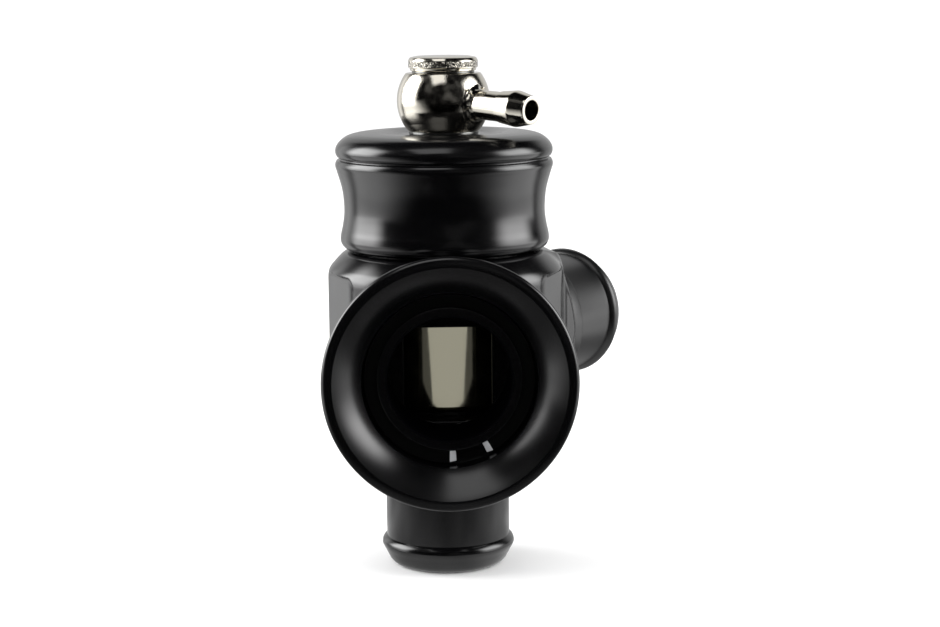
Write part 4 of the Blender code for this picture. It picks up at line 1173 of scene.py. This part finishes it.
# %% [markdown]
# The banjo eye is a ball cut flat above and below, bored for its bolt. The barbed tail is brazed into its
# side, and the plated braze leaves a small uneven fillet round the root.

# %% Banjo eye and tail
EYE_HALF = (high_z("banjo_eye") - low_z("banjo_eye")) / 2 / MM
EYE_BALL = 9.25
flat_edge = math.sqrt(EYE_BALL**2 - EYE_HALF**2)
limit = math.asin(EYE_HALF / EYE_BALL)
ball = [
    leave(EYE_BALL * math.cos(t), EYE_BALL * math.sin(t)) for t in [-limit + 2 * limit * k / 40 for k in range(1, 38)]
]
eye_outline = [
    leave(5.6, -EYE_HALF, 0.2),
    leave(flat_edge, -EYE_HALF, 0.25),
    *ball,
    leave(flat_edge + 0.25, EYE_HALF - 0.35, 0.3),
    leave(5.6, EYE_HALF - 0.35, 0.2),
]
eye = turned("banjo_eye_skin", eye_outline, standing(middle("banjo_eye").z), NICKEL_CAST, steps=160)
hand_over(eye, "banjo", ["banjo_eye"])
tail_profile = [
    leave(1.95, 5.6),
    leave(2.9, 5.6),
    leave(2.9, 15.6, 0.03),
    leave(3.12, 15.65, 0.05),
    *led_through([leave(3.14, 15.9), leave(3.32, 17.4), leave(3.5, 18.8), leave(3.53, 19.4), leave(3.4, 20.1)], 4),
    leave(2.85, 22.5, 0.1),
    leave(2.72, 22.9, 0.12),
    leave(1.95, 22.9, 0.15),
]
banjo_tail = turned("banjo_tail_skin", tail_profile, BANJO, NICKEL, steps=96)
hand_over(banjo_tail, "banjo", ["banjo_tail"])

# %% [markdown]
# Brazing leaves a small fillet round the tail's root, never quite even, with a few beads standing on it.
# The fillet is another turned outline whose points are then pushed about by a smooth noise with lumps of
# about 1.5 mm. The beads are Geometry Nodes work: points on a ring, each with a ball of a random size.

# %% Braze fillet
braze_outline = [
    leave(2.6, 7.6),
    *led_through([leave(4.0, 7.7), leave(3.9, 8.35), leave(3.45, 8.75), leave(3.15, 9.2), leave(2.98, 9.7), leave(2.86, 10.2)], 3),
    leave(2.6, 10.2),
]
braze = turned("banjo_braze_fillet", braze_outline, Matrix(), NICKEL_CAST, steps=72)
for vertex in braze.data.vertices:
    place_mm = vertex.co / MM
    if math.hypot(place_mm.x, place_mm.y) > 2.7:
        push = noise.noise(place_mm / 1.5) * 0.2 + noise.noise(place_mm / 0.6) * 0.05
        outwards = Vector((vertex.co.x, vertex.co.y, 0)).normalized()
        vertex.co += (outwards + Vector((0, 0, 0.6))) * push * MM
braze.data.transform(BANJO)
hand_over(braze, "banjo", [])

# %% Braze beads
bead_tree, start, end = new_tree(
    "braze beads",
    {"Ring radius": SIZE, "Bead radius": SIZE, "Beads": COUNT, "Seed": COUNT, "Material": "NodeSocketMaterial"},
)
ring = add_node(
    bead_tree, "GeometryNodeMeshCircle", {"Vertices": start.outputs["Beads"], "Radius": start.outputs["Ring radius"]}
)
bead = add_node(bead_tree, "GeometryNodeMeshIcoSphere", {"Radius": start.outputs["Bead radius"], "Subdivisions": 3})
nudge = add_node(
    bead_tree,
    "FunctionNodeRandomValue",
    {"Min": (-0.5 * MM, -0.5 * MM, -0.35 * MM), "Max": (0.5 * MM, 0.5 * MM, 0.35 * MM), "Seed": start.outputs["Seed"]},
    data_type="FLOAT_VECTOR",
)
scattered = add_node(bead_tree, "GeometryNodeSetPosition", {"Geometry": ring.outputs[0], "Offset": nudge.outputs[0]})
grown = add_node(bead_tree, "FunctionNodeRandomValue", {"Seed": start.outputs["Seed"]}, data_type="FLOAT")
for socket, value in zip([n for n in grown.inputs if n.name in ("Min", "Max") and n.type == "VALUE"], (0.5, 1.2)):
    socket.default_value = value
beads = add_node(
    bead_tree,
    "GeometryNodeInstanceOnPoints",
    {"Points": scattered.outputs[0], "Instance": bead.outputs[0], "Scale": [n for n in grown.outputs if n.type == "VALUE"][0]},
)
finish_tree(bead_tree, beads.outputs[0], start.outputs["Material"], end)
bead_sizes = {"Ring radius": 3.35 * MM, "Bead radius": 0.3 * MM, "Beads": 11, "Seed": 4, "Material": NICKEL_CAST}
bead_piece = grow("banjo_braze_beads", bead_tree, bead_sizes, BANJO @ Matrix.Translation((0, 0, 8.75 * MM)))
bead_piece.data.shade_smooth()
hand_over(bead_piece, "banjo", [])

# %% [markdown]
# The bolt's head is a low round cap with a soft edge, slightly narrower at its foot. Its shank is hollow
# and is hidden; the cross hole inside the eye is left out. A soft washer seals each side of the eye.

# %% Bolt and washers
HEAD = high_z("banjo_bolt") / MM
head_outline = [
    leave(2.2, 80.0),
    leave(4.7, 80.0, 0.3),
    leave(4.7, HEAD - 3.1, 0.1),
    leave(6.5, HEAD - 3.1, 0.12),
    leave(6.65, HEAD - 2.55, 0.1),
    leave(6.9, HEAD - 2.48, 0.08),
    leave(6.9, HEAD - 1.05, 0.25),
    leave(6.55, HEAD - 0.5, 0.4),
    leave(5.3, HEAD - 0.24, 0.8),
    leave(0, HEAD - 0.08, 0.0),
    leave(0, 96.0, 0.0),
    leave(2.2, 95.5, 0.2),
]
bolt = turned("banjo_bolt_skin", head_outline, UP, NICKEL_BOLT, steps=128)
hand_over(bolt, "housing", ["banjo_bolt"])
for node in ("banjo_washer_upper", "banjo_washer_lower"):
    squeezed = node == "banjo_washer_upper"
    rim, thick, drop = (6.2, 0.45, 0.45) if squeezed else (6.95, 0.6, 0.0)
    washer_outline = [leave(4.8, 0, 0.05), leave(rim, 0, 0.15), leave(rim, thick, 0.15), leave(4.8, thick, 0.05)]
    washer = turned(node + "_skin", washer_outline, standing(low_z(node) - drop * MM), WASHER, steps=96)
    hand_over(washer, "housing", [node])

# %% [markdown]
# Last, the dressed valve's box is printed beside the imported solids' box. A skin keeps its part's size,
# so the two should agree to a fraction of a millimetre.

# %% Sizes and finish
sizes = {"cad": [list(corner) for corner in cad_box], "visual": [list(corner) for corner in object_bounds()]}
print("CAD box and visual box:", sizes)
